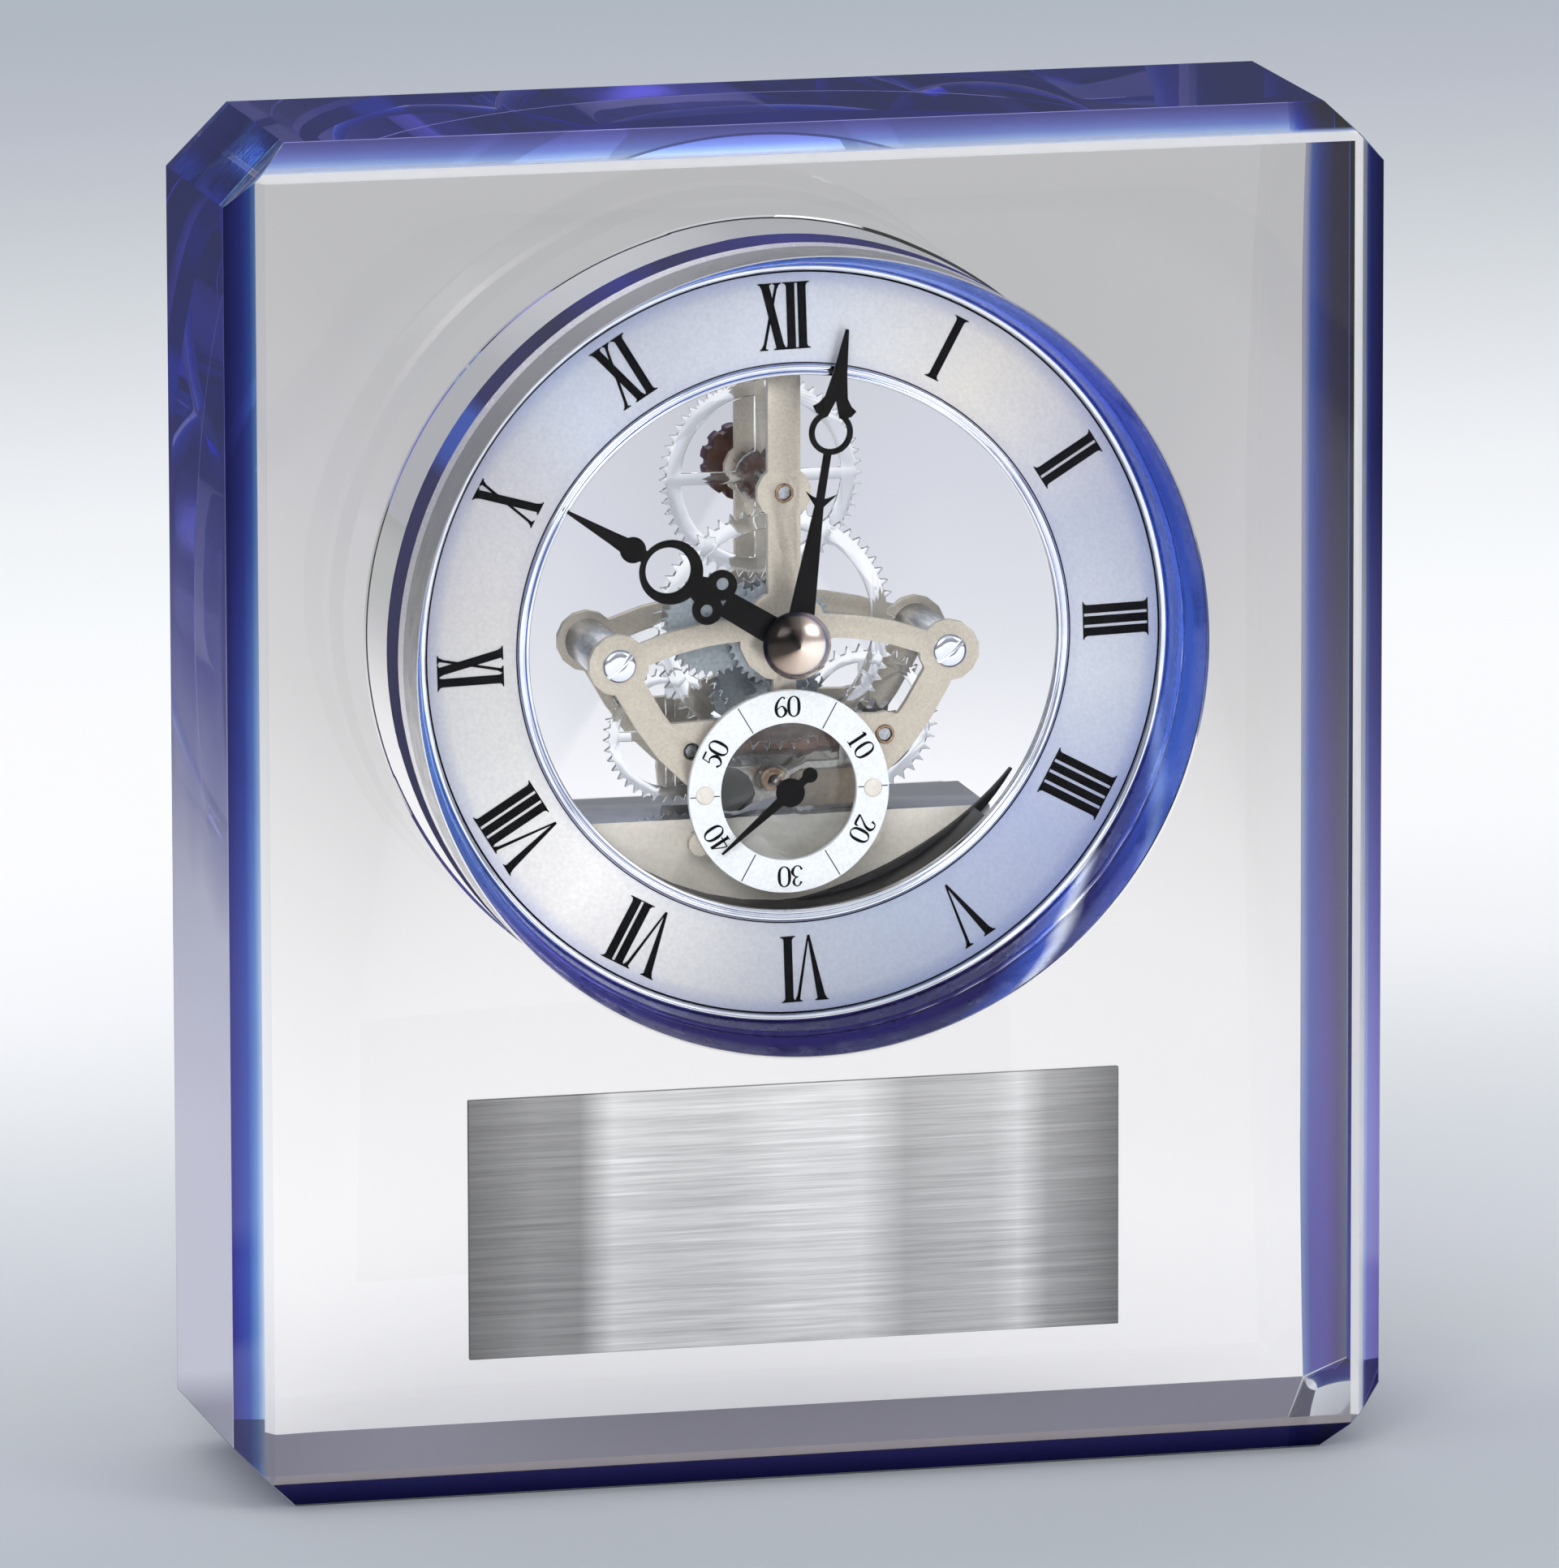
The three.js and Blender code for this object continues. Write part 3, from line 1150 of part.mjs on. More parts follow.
function hourHand() {
  const { disc, outline } = handShapes(HOUR_HAND_LENGTH);
  const shapes = [
    disc(0, 0, 12.2),
    outline([[-5.4, 0], [5.4, 0], [4.8, 31.2], [-4.8, 31.2]]),
    disc(-5.1, 35.7, 5.7),
    disc(5.1, 35.7, 5.7),
    disc(0, 40.8, 5.1),
    disc(0, 54.7, 11.9),
    disc(0, 71.4, 4.8),
    outline([[-2.3, 64.3], [2.3, 64.3], [2.5, 71.4], [-2.5, 71.4]]),
    outline([[-3.4, 71.4], [3.4, 71.4], [0.6, 100], [-0.6, 100]]),
  ];
  const holes = [
    disc(0, 56.1, 8.5),
    disc(-5.7, 35.7, 2.3),
    disc(5.7, 35.7, 2.3),
    circle(0, 0, HOUR_PIPE_RADIUS - 0.3),
  ];
  return handPlate(shapes, holes, HOUR_HAND_DEPTH, CENTRE, HOUR_HAND_ANGLE);
}

function domeNut() {
  const back = MINUTE_HAND_DEPTH;
  const outline = [[0, back]];
  const steps = 5;
  outline.push([DOME_RADIUS, back]);
  for (let i = 1; i < steps; i += 1) {
    const angle = (i / steps) * (Math.PI / 2);
    outline.push([DOME_RADIUS * Math.cos(angle), back - DOME_HEIGHT * Math.sin(angle)]);
  }
  outline.push([0, back - DOME_HEIGHT]);
  return turned(CENTRE, outline.reverse(), 24);
}

function secondsHand() {
  const { disc, outline } = handShapes(SECONDS_HAND_LENGTH);
  const tail = (-100 * SECONDS_HAND_TAIL) / SECONDS_HAND_LENGTH;
  const shapes = [
    disc(0, 0, 16),
    outline([[-2.9, 0], [2.9, 0], [1, 100], [-1, 100]]),
    outline([[-4.2, tail], [4.2, tail], [2.9, 0], [-2.9, 0]]),
  ];
  const hand = handPlate(shapes, [], SECONDS_HAND_DEPTH, SECONDS, SECONDS_HAND_ANGLE);
  const front = SECONDS_HAND_DEPTH - SECONDS_BOSS_REACH;
  return join(hand, rod(SECONDS, front, SECONDS_HAND_DEPTH + JOIN_DEPTH, SECONDS_BOSS_RADIUS));
}

// The whole part

function allPieces() {
  return [
    ["crystal_block", crystalBlock(), GLASS],
    ["nameplate", nameplate(), BRUSHED_STEEL],
    ["front_bezel", frontBezel(), POLISHED_CHROME],
    ["front_lens", frontLens(), GLASS],
    ["case_barrel", caseBarrel(), SATIN_SILVER],
    ["case_spacer", caseSpacer(), WHITE_PLASTIC],
    ["case_gasket", caseGasket(), BLUE_RUBBER],
    ["rear_cover", rearCover(), CLEAR_PLASTIC],
    ["dial_ring", dialRing(), SATIN_SILVER],
    ["dial_inner_rim", dialInnerRim(), POLISHED_CHROME],
    ["dial_arc_support", dialArcSupport(), BLACK_PLASTIC],
    ["seconds_dial", secondsDial(), WHITE_PRINT],
    ["front_plate", frontPlate(), NICKEL],
    ["rear_plate", rearPlate(), NICKEL],
    ["rear_seconds_bridge", rearSecondsBridge(), NICKEL],
    ["pillar_left", pillar(-1), STEEL],
    ["pillar_right", pillar(1), STEEL],
    ["plate_screw_left", plateScrew({ x: -PILLAR_X, z: PILLAR_Z }, 0.75), POLISHED_CHROME],
    ["plate_screw_right", plateScrew({ x: PILLAR_X, z: PILLAR_Z }, 0.65), POLISHED_CHROME],
    ["plate_screw_top", plateScrew({ x: 0, z: ARM_TOP - 2.4 }, 0.2), POLISHED_CHROME],
    ["bush_top", bush(SETTING), BRONZE],
    ["bush_right", bush(THIRD), BRONZE],
    ["motion_stud", motionStud(), STEEL],
    ["fourth_stud", fourthStud(), STEEL],
    ["idler_stud", idlerStud(), STEEL],
    ["motor_coil", motorCoil(), COPPER],
    ["motor_stator", motorStator(), GREY_STATOR],
    ["rotor_housing", rotorHousing(), BLACK_PLASTIC],
    ["seconds_bush", secondsBush(), BRONZE],
    ["circuit_board", circuitBoard(), GREEN_BOARD],
    ["battery_box", batteryBox(), BEIGE_PLASTIC],
    ["battery_contact_plus", contactPlate(1), STEEL],
    ["battery_contact_minus", contactPlate(-1), STEEL],
    ["battery_contact_spring", contactSpring(), STEEL],
    ["battery_cell", batteryCell(), CELL_JACKET],
    ["battery_door", batteryDoor(), BEIGE_PLASTIC],
    ["centre_arbor", centreArbor(), STEEL],
    ["centre_wheel", centreWheel(), CLEAR_PLASTIC],
    ["setting_drive_wheel", settingDriveWheel(), STEEL],
    ["minute_hand", minuteHand(), BLACK_PAINT],
    ["dome_nut", domeNut(), PINK_SILVER],
    ["hour_pipe", hourPipe(), STEEL],
    ["hour_hand", hourHand(), BLACK_PAINT],
    ["minute_wheel", minuteWheel(), STEEL],
    ["third_arbor", thirdArbor(), STEEL],
    ["third_wheel", thirdWheel(), CLEAR_PLASTIC],
    ["fourth_wheel", fourthWheel(), STEEL],
    ["idler_wheel", idlerWheel(), STEEL],
    ["seconds_arbor", secondsArbor(), STEEL],
    ["seconds_wheel", secondsWheel(), CLEAR_PLASTIC],
    ["seconds_hand", secondsHand(), BLACK_PAINT],
    ["motor_arbor", motorArbor(), STEEL],
    ["motor_wheel", motorWheel(), CLEAR_PLASTIC],
    ["setting_arbor", settingArbor(), STEEL],
    ["setting_wheel", settingWheel(), CLEAR_PLASTIC],
    ["setting_drum", settingDrum(), BROWN_PLASTIC],
    ["setting_knob", settingKnob(), BLACK_PLASTIC],
  ];
}

const clock = new THREE.Group();
clock.name = "crystal_desk_clock";
for (const [name, solid, material] of allPieces()) {
  clock.add(toMesh(name, solid, material));
}

export default clock;
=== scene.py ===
# %% [markdown]
# # Crystal desk clock
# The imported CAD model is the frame. This script dresses it: every visible piece gets a finished
# shape and a procedural material. Lengths are millimetres until they reach Blender, which is in metres.

import json
import math

import bmesh
import bpy
from mathutils import Matrix, Vector
from mathutils.geometry import delaunay_2d_cdt, tessellate_polygon

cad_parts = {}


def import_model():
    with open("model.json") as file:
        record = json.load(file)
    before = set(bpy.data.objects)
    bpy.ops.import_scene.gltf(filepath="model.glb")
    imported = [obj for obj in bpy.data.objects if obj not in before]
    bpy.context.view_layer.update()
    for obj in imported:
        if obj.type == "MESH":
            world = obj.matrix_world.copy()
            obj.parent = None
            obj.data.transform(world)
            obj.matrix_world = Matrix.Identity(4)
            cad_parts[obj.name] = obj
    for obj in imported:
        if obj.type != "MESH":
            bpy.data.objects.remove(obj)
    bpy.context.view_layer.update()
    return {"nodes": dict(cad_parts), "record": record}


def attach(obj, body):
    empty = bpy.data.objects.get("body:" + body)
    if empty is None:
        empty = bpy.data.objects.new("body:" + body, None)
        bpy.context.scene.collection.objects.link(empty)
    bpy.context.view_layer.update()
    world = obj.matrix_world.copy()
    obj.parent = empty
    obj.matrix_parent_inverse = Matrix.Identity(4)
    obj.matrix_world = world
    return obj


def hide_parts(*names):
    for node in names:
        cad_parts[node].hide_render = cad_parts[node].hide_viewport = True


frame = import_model()

# %% [markdown]
# ## Sizes
# These repeat the named sizes of the CAD source. Depths run backwards from the block's front face,
# and x and z are measured from the middle of the dial.

# %% Sizes
BLOCK_WIDTH = 152.4
BLOCK_HEIGHT = 177
BLOCK_DEPTH = 43.5
EDGE_BEVEL = 3.5
CORNER_CUT = 8
FACET = 1.3
BACK_EDGE = 5.0
FACET_DEPTH = 0.35
BORE_RADIUS = 52
BORE_HEIGHT = 108
DIAL_FRONT = 11.4
DIAL_OPENING = 35.6
DIAL_TURN = 1.7
NUMERAL_RADIUS = 42.7
NUMERAL_HEIGHT = 8.7
NUMERAL_PROUD, PRINT_PROUD, SUNK = 0.12, 0.04, 0.02
SPACER_FRONT, GASKET_FRONT, GASKET_BACK = 13.0, 17.4, 26.8
RING_INSIDE = 51.43
PLATE_LEFT, PLATE_RIGHT = -46, 40

CENTRE = (0, 0)
SECONDS = (0, -20)


def at(x, depth, z):
    """A point in metres from a place on the dial and a depth behind the block's front face."""
    return Vector((x, depth - BLOCK_DEPTH / 2, BORE_HEIGHT + z)) / 1000


def about(place, radius, angle):
    """The place at a radius and an angle in degrees, clockwise from twelve o'clock."""
    turn = math.radians(angle)
    return (place[0] + radius * math.sin(turn), place[1] + radius * math.cos(turn))


# %% [markdown]
# ## Materials
# One function adds a node with its settings and links, and one turns a written colour into linear
# light. Each finish is its own function, with pattern sizes given in millimetres. The stops of a
# colour ramp are written as one text, in which each position is followed by its colour.

# %% Material tools
def colour(code):
    """Linear RGBA from an sRGB hex colour."""
    parts = [int(code[i:i + 2], 16) / 255 for i in (1, 3, 5)]
    return (*[p / 12.92 if p <= 0.04045 else ((p + 0.055) / 1.055) ** 2.4 for p in parts], 1)


def set_stops(elements, text):
    """Gives a colour ramp its stops: position and colour in turn, or one colour throughout."""
    words = text.split() if " " in text else ["0", text, "1", text]
    while len(elements) < len(words) / 2:
        elements.new(0.5)
    for element, position, code in zip(elements, words[::2], words[1::2]):
        element.position = float(position)
        element.color = colour(code)


def fill(tree, node, *values, **named):
    """Gives a node its settings and inputs.

    The values go to the inputs in use, in order. A name in small letters is a setting, and any other
    is an input, with _ for a space. A node is linked by the first of its outputs that is in use.
    """
    for name, value in named.items():
        if name == "stops":
            set_stops(node.color_ramp.elements, value)
        elif name.islower():
            setattr(node, name, value)
    used = [socket for socket in node.inputs if socket.enabled]
    chosen = {name: value for name, value in named.items() if not name.islower()}
    sockets = used[:len(values)] + [node.inputs[name.replace("_", " ")] for name in chosen]
    for socket, value in zip(sockets, (*values, *chosen.values())):
        if isinstance(value, bpy.types.Node):
            value = next(output for output in value.outputs if output.enabled)
        if isinstance(value, bpy.types.NodeSocket):
            tree.links.new(value, socket)
        else:
            socket.default_value = colour(value) if str(value).startswith("#") else value
    return node


def add(tree, kind, *values, **named):
    """A new shader node, or a geometry node where the kind says so."""
    name = kind if kind.startswith("GeometryNode") else "ShaderNode" + kind
    return fill(tree, tree.nodes.new(name), *values, **named)


def object_parts(tree):
    """X, Y and Z of the object coordinates, which are the frame's metres."""
    return add(tree, "SeparateXYZ", add(tree, "TexCoord").outputs["Object"]).outputs


def pattern(tree, size_mm, detail=2, stretch=(1, 1, 1), roughness=0.5):
    """A cloudy pattern with features of about size_mm, stretched along the axes."""
    scaled = add(tree, "VectorMath", add(tree, "TexCoord").outputs["Object"],
                 tuple(1 / s for s in stretch), operation="MULTIPLY")
    return add(tree, "TexNoise", scaled, Scale=1000 / size_mm, Detail=detail, Roughness=roughness)


def material(name):
    """A new material with its shader: (material, tree, shader)."""
    made = bpy.data.materials.new(name)
    made.use_nodes = True
    tree = made.node_tree
    return made, tree, tree.nodes["Principled BSDF"]


def plain_finish(name, dark, light, grain_mm, rough=(0.4, 0.5), metal=0.0, stretch=(1, 1, 1),
                 bump_mm=0.004, **values):
    """A finish whose colour, roughness and height follow one grain pattern."""
    made, tree, shader = material(name)
    grain = pattern(tree, grain_mm, 3, stretch)
    fill(tree, shader, Base_Color=add(tree, "ValToRGB", grain, stops=f"0.25 {dark} 0.75 {light}"),
         Roughness=add(tree, "MapRange", grain, 0.2, 0.8, *rough), Metallic=metal,
         Normal=add(tree, "Bump", Height=grain, Strength=0.5, Distance=bump_mm / 1000), **values)
    return made


def glass_finish(name, tint, ior, rough=(0.0, 0.004)):
    """Clear glass or plastic with faint wipe marks in its gloss."""
    made, tree, shader = material(name)
    marks = pattern(tree, 9, 3)
    fill(tree, shader, Roughness=add(tree, "MapRange", marks, 0.3, 0.8, *rough), IOR=ior,
         Base_Color=add(tree, "ValToRGB", marks, stops=f"0 {tint} 1 #ffffff"), Transmission_Weight=1.0)
    return made


# %% Finishes
CLOUD_RISE = 0.03
FACE_FADE = 40


def edge_finish(name, high, low=None, heights=(0.03, 0.19), clouds_mm=26,
                depths=(FACET_DEPTH, EDGE_BEVEL), clear_across=None, clear_up=None):
    """Tint for one kind of edge, with its colours from the first depth to the second.

    high and low are the colours above and below the two heights, in metres, for one passage of light; the
    change from one to the other is painted reflection of the room.
    A material shows the square root of its colour there, so the colour is multiplied by itself. The
    two clear ramps say how much passes; the rest is frosted.
    """
    made, tree, shader = material(name)
    parts = object_parts(tree)
    clouds = pattern(tree, clouds_mm, 2, (1, 1, 1.8))
    inward = add(tree, "MapRange", parts["Y"], *[(depth - BLOCK_DEPTH / 2) / 1000 for depth in depths])
    across = add(tree, "Math", clouds, 0.12, inward, operation="MULTIPLY_ADD", use_clamp=True)
    wave = add(tree, "Math", clouds, CLOUD_RISE, parts["Z"], operation="MULTIPLY_ADD")
    # The change of colour with height is painted reflection of the room.
    rise = add(tree, "MapRange", wave, *[height + CLOUD_RISE / 2 for height in heights])
    tones = [add(tree, "ValToRGB", across, stops=stops) for stops in (low or high, high)]
    tint = add(tree, "Mix", rise, *tones, data_type="RGBA")
    fill(tree, shader, Transmission_Weight=1.0, IOR=1.0, Roughness=0.0, Specular_IOR_Level=0.0,
         Base_Color=add(tree, "Mix", 1.0, tint, tint, data_type="RGBA", blend_type="MULTIPLY"))
    for place, stops in ((across, clear_across), (rise, clear_up)):
        if stops:
            fill(tree, shader, Transmission_Weight=add(tree, "ValToRGB", place, stops=stops))
    return made


def corner_finish():
    """Navy with teal clouds and a painted highlight line at the top corners, clear grey at the foot."""
    made, tree, shader = material("navy_corner")
    parts = object_parts(tree)
    clouds = pattern(tree, 2.2, 2, (1, 0.35, 1))
    inward = add(tree, "MapRange", parts["Y"], -BLOCK_DEPTH / 2000, (EDGE_BEVEL - BLOCK_DEPTH / 2) / 1000)
    navy = add(tree, "ValToRGB", clouds, stops="0.3 #141852 0.48 #20307c 0.6 #2f6cb0 0.72 #1c246c")
    front = add(tree, "ValToRGB", inward, stops="0 #dfe8f6 0.3 #8db4e6 0.55 #3c55c0 0.9 #ffffff")
    aside = add(tree, "Math", parts["X"], operation="ABSOLUTE")
    slope = add(tree, "Math", aside, parts["Z"], operation="SUBTRACT")
    # A light line across each top corner, screened over the navy: a painted highlight.
    line = add(tree, "ValToRGB", add(tree, "MapRange", slope, -0.1032, -0.0992), stops=(
        "0 #000000 0.34 #000000 0.36 #8a8d96 0.5 #4a4e5c 0.64 #a2a5ad 0.66 #000000"))
    with_painted_line = add(tree, "Mix", 1.0, navy, line, data_type="RGBA", blend_type="SCREEN")
    top = add(tree, "Mix", inward, front, with_painted_line, data_type="RGBA")
    rise = add(tree, "MapRange", parts["Z"], 0.03, 0.1)
    fill(tree, shader, IOR=1.0, Roughness=0.0, Specular_IOR_Level=0.0,
         Base_Color=add(tree, "Mix", rise, "#c4c6cc", top, data_type="RGBA"),
         Transmission_Weight=add(tree, "ValToRGB", inward, stops="0 #808080 0.5 #b0b0b0 0.9 #ffffff"))
    return made


def clock_angle(tree):
    """0 to 1 clockwise round the dial from six o'clock, and the place from the dial's middle."""
    middle = add(tree, "VectorMath", add(tree, "TexCoord").outputs["Object"], tuple(at(0, 0, 0)),
                 operation="SUBTRACT")
    parts = add(tree, "SeparateXYZ", middle).outputs
    turn = add(tree, "Math", parts["X"], parts["Z"], operation="ARCTAN2")
    return add(tree, "MapRange", turn, -math.pi, math.pi), parts


def ring_finish(name, stops, rough, metal, highlight_slant=0.0, **values):
    """A glossy ring whose colour, with its painted light and shade, runs round the dial; highlight_slant
    slants the pattern with depth.
    """
    made, tree, shader = material(name)
    turn, parts = clock_angle(tree)
    slanted = add(tree, "Math", parts["Y"], highlight_slant, turn, operation="MULTIPLY_ADD")
    gloss = add(tree, "MapRange", pattern(tree, 3, 3), 0.3, 0.8, rough * 0.7, rough * 1.4)
    fill(tree, shader, Base_Color=add(tree, "ValToRGB", slanted, stops=stops), Metallic=metal,
         Roughness=gloss, **values)
    return made


def nameplate_finish():
    """Steel brushed lengthways, with soft upright bands of painted reflection across it."""
    made, tree, shader = material("brushed_nameplate_steel")
    across = add(tree, "MapRange", object_parts(tree)["X"], PLATE_LEFT / 1000, PLATE_RIGHT / 1000)
    painted_reflection_bands = add(tree, "ValToRGB", across, stops=(
        "0 #7e7e7e 0.1 #9c9c9c 0.17 #9a9a9a 0.22 #dcdcdc 0.3 #d2d2d2 0.4 #d2d2d2 0.48 #e0e0e0 "
        "0.6 #e2e2e2 0.67 #bababa 0.8 #cacaca 0.845 #dedede 0.89 #b0b0b0 1 #808080"))
    lines = pattern(tree, 0.35, 4, (60, 1, 1), 0.7)
    fine = add(tree, "ValToRGB", lines, stops="0.25 #b0b0b0 0.75 #ffffff")
    fill(tree, shader, Roughness=add(tree, "MapRange", lines, 0.2, 0.8, 0.42, 0.6), Metallic=0.85,
         Base_Color=add(tree, "Mix", 0.8, painted_reflection_bands, fine, data_type="RGBA", blend_type="MULTIPLY"),
         Normal=add(tree, "Bump", Height=lines, Strength=0.3, Distance=0.01 / 1000))
    return made


def dial_finish():
    """Satin silver with fine grain, under a painted sheen that is near white at eight o'clock and cool
    blue at four, and painted shade near both rims.
    """
    made, tree, shader = material("satin_silver_dial")
    turn, parts = clock_angle(tree)
    painted_sheen = add(tree, "ValToRGB", turn, stops=(
        "0 #bcc1cc 0.03 #cdcfd2 0.117 #fefcf8 0.205 #ddddd9 0.267 #d5d3d0 0.34 #cacace 0.385 #cdd4df "
        "0.42 #c7cbd4 0.511 #d6dbe2 0.6 #e2ded6 0.69 #c0c5d4 0.773 #d2d8e0 0.854 #b2bbd7 "
        "0.953 #b5bece 1 #bcc1cc"))
    flat = add(tree, "CombineXYZ", X=parts["X"], Z=parts["Z"])
    radius = add(tree, "VectorMath", flat, operation="LENGTH")
    painted_rim_shade = add(tree, "ValToRGB", add(tree, "MapRange", radius, 0.0355, 0.0497), stops=(
        "0 #b8bee0 0.1 #f6f7fc 0.2 #ffffff 0.75 #ffffff 0.92 #c8d0f0 1 #8f9bd2"))
    grain = pattern(tree, 0.5, 3)
    speckle = add(tree, "ValToRGB", grain, stops="0.2 #ececf0 0.8 #ffffff")
    painted_tone = add(tree, "Mix", 0.8, painted_sheen, painted_rim_shade, data_type="RGBA", blend_type="MULTIPLY")
    fill(tree, shader, Roughness=add(tree, "MapRange", grain, 0.2, 0.8, 0.32, 0.45), Metallic=0.5,
         Base_Color=add(tree, "Mix", 1.0, painted_tone, speckle, data_type="RGBA", blend_type="MULTIPLY"),
         Normal=add(tree, "Bump", Height=grain, Strength=0.2, Distance=0.01 / 1000))
    return made


# Polished glass and clear mouldings: only faint wipe marks break their gloss.
GLASS = glass_finish("clear_block_glass", "#fdfdff", 1.5, (0.0, 0.002))
LENS = glass_finish("coated_clear_lens", "#ffffff", 1.08)
CLEAR_PLASTIC = glass_finish("clear_moulded_plastic", "#eef2f5", 1.45, (0.02, 0.08))
# Ground and polished edges: each carries a painted reflection of its own strip of the room, from navy to
# pale violet.
LEFT_BEVEL = edge_finish(
    "blue_left_bevel",
    "0 #b4b8c0 0.1 #6f9ad2 0.28 #3b5cb2 0.54 #333a8f 0.86 #262b6f 1 #20235e",
    "0 #f6f8fc 0.12 #cde3ff 0.3 #7ba4e6 0.56 #4a64c2 0.86 #4a50b1 1 #4648a4", (0.03, 0.13))
# The frosted pale strip along the inner edge of the top bevel is a painted highlight.
TOP_BEVEL = edge_finish(
    "violet_top_bevel",
    "0 #ffffff 0.1 #eef4ff 0.28 #86a8e2 0.48 #5a74c8 0.75 #4e55aa 1 #44458e",
    "0 #ffffff 1 #5a5faa", clear_across="0 #303030 0.12 #505050 0.26 #ffffff")
FOOT_BEVEL = edge_finish("navy_foot_bevel", "0 #26266e 1 #121246")
CORNER = corner_finish()
# Front facet tints: the frosted white at the top and right is a painted highlight, and the brown grey at
# the foot is a painted reflection.
PAINTED_HIGHLIGHT_FACET = edge_finish("white_polished_facet", "#ffffff", clear_up="#404040")
CLEAR_FACET = edge_finish("clear_polished_facet", "#f6f7fa")
FOOT_FACET = edge_finish("brown_grey_facet", "#d8d4d6", clear_up="#707070")
LEFT_FACE = edge_finish("violet_left_face", "#6e68cc", "#f8f8ff", (0.075, 0.145),
                        clear_up="0 #5c5c5c 1 #ececec")
RIGHT_BEVEL = edge_finish(
    "navy_right_bevel",
    "0 #ccd0da 0.26 #c4c8d4 0.36 #3b4ea6 0.5 #2c2f78 1 #14184c",
    "0 #ffffff 0.28 #f6f8ff 0.38 #9fb4e8 0.5 #8886d0 1 #7a76c4", (0.04, 0.13),
    clear_across="0 #505050 0.3 #707070 0.4 #ffffff")
RIGHT_FACE = edge_finish(
    "violet_right_face",
    "0 #3a3650 0.25 #2e2844 0.55 #332d62 0.85 #3f4ba0 1 #4c6cc4",
    "0 #eceef6 0.22 #a8a6b8 0.45 #8c8a9e 0.62 #a69bd6 0.85 #8f8ae0 1 #a8b4f2", (0.02, 0.12),
    depths=(EDGE_BEVEL, FACE_FADE), clear_up="0 #808080 0.6 #ffffff")
TOP_FACE = edge_finish("navy_top_face", "0 #a49ce6 1 #9690dc")
FOOT_FACE = edge_finish(
    "grey_foot_face", "#f0f0f4", "0 #f4f4f8 0.25 #e6f0ec 0.4 #f6ecee 0.6 #e8ecf8 1 #f4f4f8",
    clouds_mm=14, depths=(0, FACE_FADE), clear_up="#404040")
BACK_BEVEL = edge_finish(
    "blue_back_bevel",
    "0 #262040 0.4 #2c2552 0.7 #37459a 0.88 #5474cc 1 #c4c8dc",
    "0 #b0bac2 0.25 #a49ccc 0.5 #aea2ea 0.85 #a6aaee 1 #c8d8fc", (0.025, 0.13),
    depths=(BLOCK_DEPTH - BACK_EDGE, BLOCK_DEPTH), clear_up="0 #808080 1 #ffffff")
FOOT_BACK = edge_finish("grey_foot_back_bevel", "0 #e4e4e8 1 #dcdae0", clear_up="#606060")
# Brushed steel and satin silver: fine lines and grain, under soft bands of painted reflection and sheen.
NAMEPLATE = nameplate_finish()
DIAL = dial_finish()
# Polished rings, with painted reflections, highlights and shade running round them, and a gasket of satin
# rubber with painted glints.
# The blue of this chrome is a painted reflection, and its white streaks are painted highlights.
PAINTED_REFLECTION_CHROME = ring_finish(
    "blue_reflecting_chrome",
    "0 #26205e 0.08 #28225f 0.15 #3c3f92 0.24 #5783d7 0.34 #618ee2 0.368 #fcfcfc 0.385 #5466c6 "
    "0.44 #7195e5 0.52 #5780e2 0.58 #809cef 0.66 #5365d4 0.72 #3a55bc 0.78 #4667cc 0.83 #4a6cce "
    "0.842 #88a4ec 0.856 #3a50b0 0.9 #28245f 0.912 #e8eefc 0.922 #425cbc 0.95 #262058 1 #26205e",
    0.3, 0.35, 5.0, Specular_IOR_Level=0.3)
# Dome nut: the dark arc at the upper left and the bright arc at the right are painted reflection.
NICKEL_PAINTED_REFLECTION = ring_finish(
    "polished_warm_nickel",
    "0 #dccabb 0.12 #a8978a 0.2 #3c3633 0.43 #221f1e 0.5 #6e635c 0.57 #d9c8ba 0.8 #fff3e8 1 #dccabb",
    0.22, 1.0)
# The bright blue flecks round the navy gasket are painted glints.
BLUE_RUBBER = ring_finish(
    "blue_gasket_rubber",
    "0 #241c78 0.2 #1a1266 0.325 #1e1670 0.333 #4a7ae0 0.352 #5286e8 0.358 #241c78 0.4 #160e58 "
    "0.43 #3434a8 0.45 #1a1264 0.5 #3632a2 0.54 #1e166a 0.6 #4444b4 0.66 #1a1266 1 #241c78",
    0.35, 0.0, Specular_IOR_Level=0.0)
# The bezel wall grows darker towards the top: painted shade.
GREY_METAL = ring_finish(
    "dark_bezel_wall", "0 #8a888c 0.2 #8b8a8e 0.32 #777578 0.45 #646264 0.6 #6b696c 1 #8a888c",
    0.22, 0.95)
# Plated and turned metals: bright, with the faint marks of the bath or the lathe.
CHROME = plain_finish("polished_chrome", "#d3d8e2", "#eceff5", 6, (0.04, 0.09), 1.0, bump_mm=0.001)
NICKEL = plain_finish("matte_nickel_plate", "#bdb5a7", "#d2cabd", 0.35, (0.3, 0.42), 0.55)
BRONZE = plain_finish("turned_bronze", "#8a7058", "#b39a80", 0.4, (0.25, 0.4), 1.0)
STEEL = plain_finish("turned_steel", "#8d9096", "#c3c6cb", 0.6, (0.18, 0.3), 1.0, (1, 6, 1))
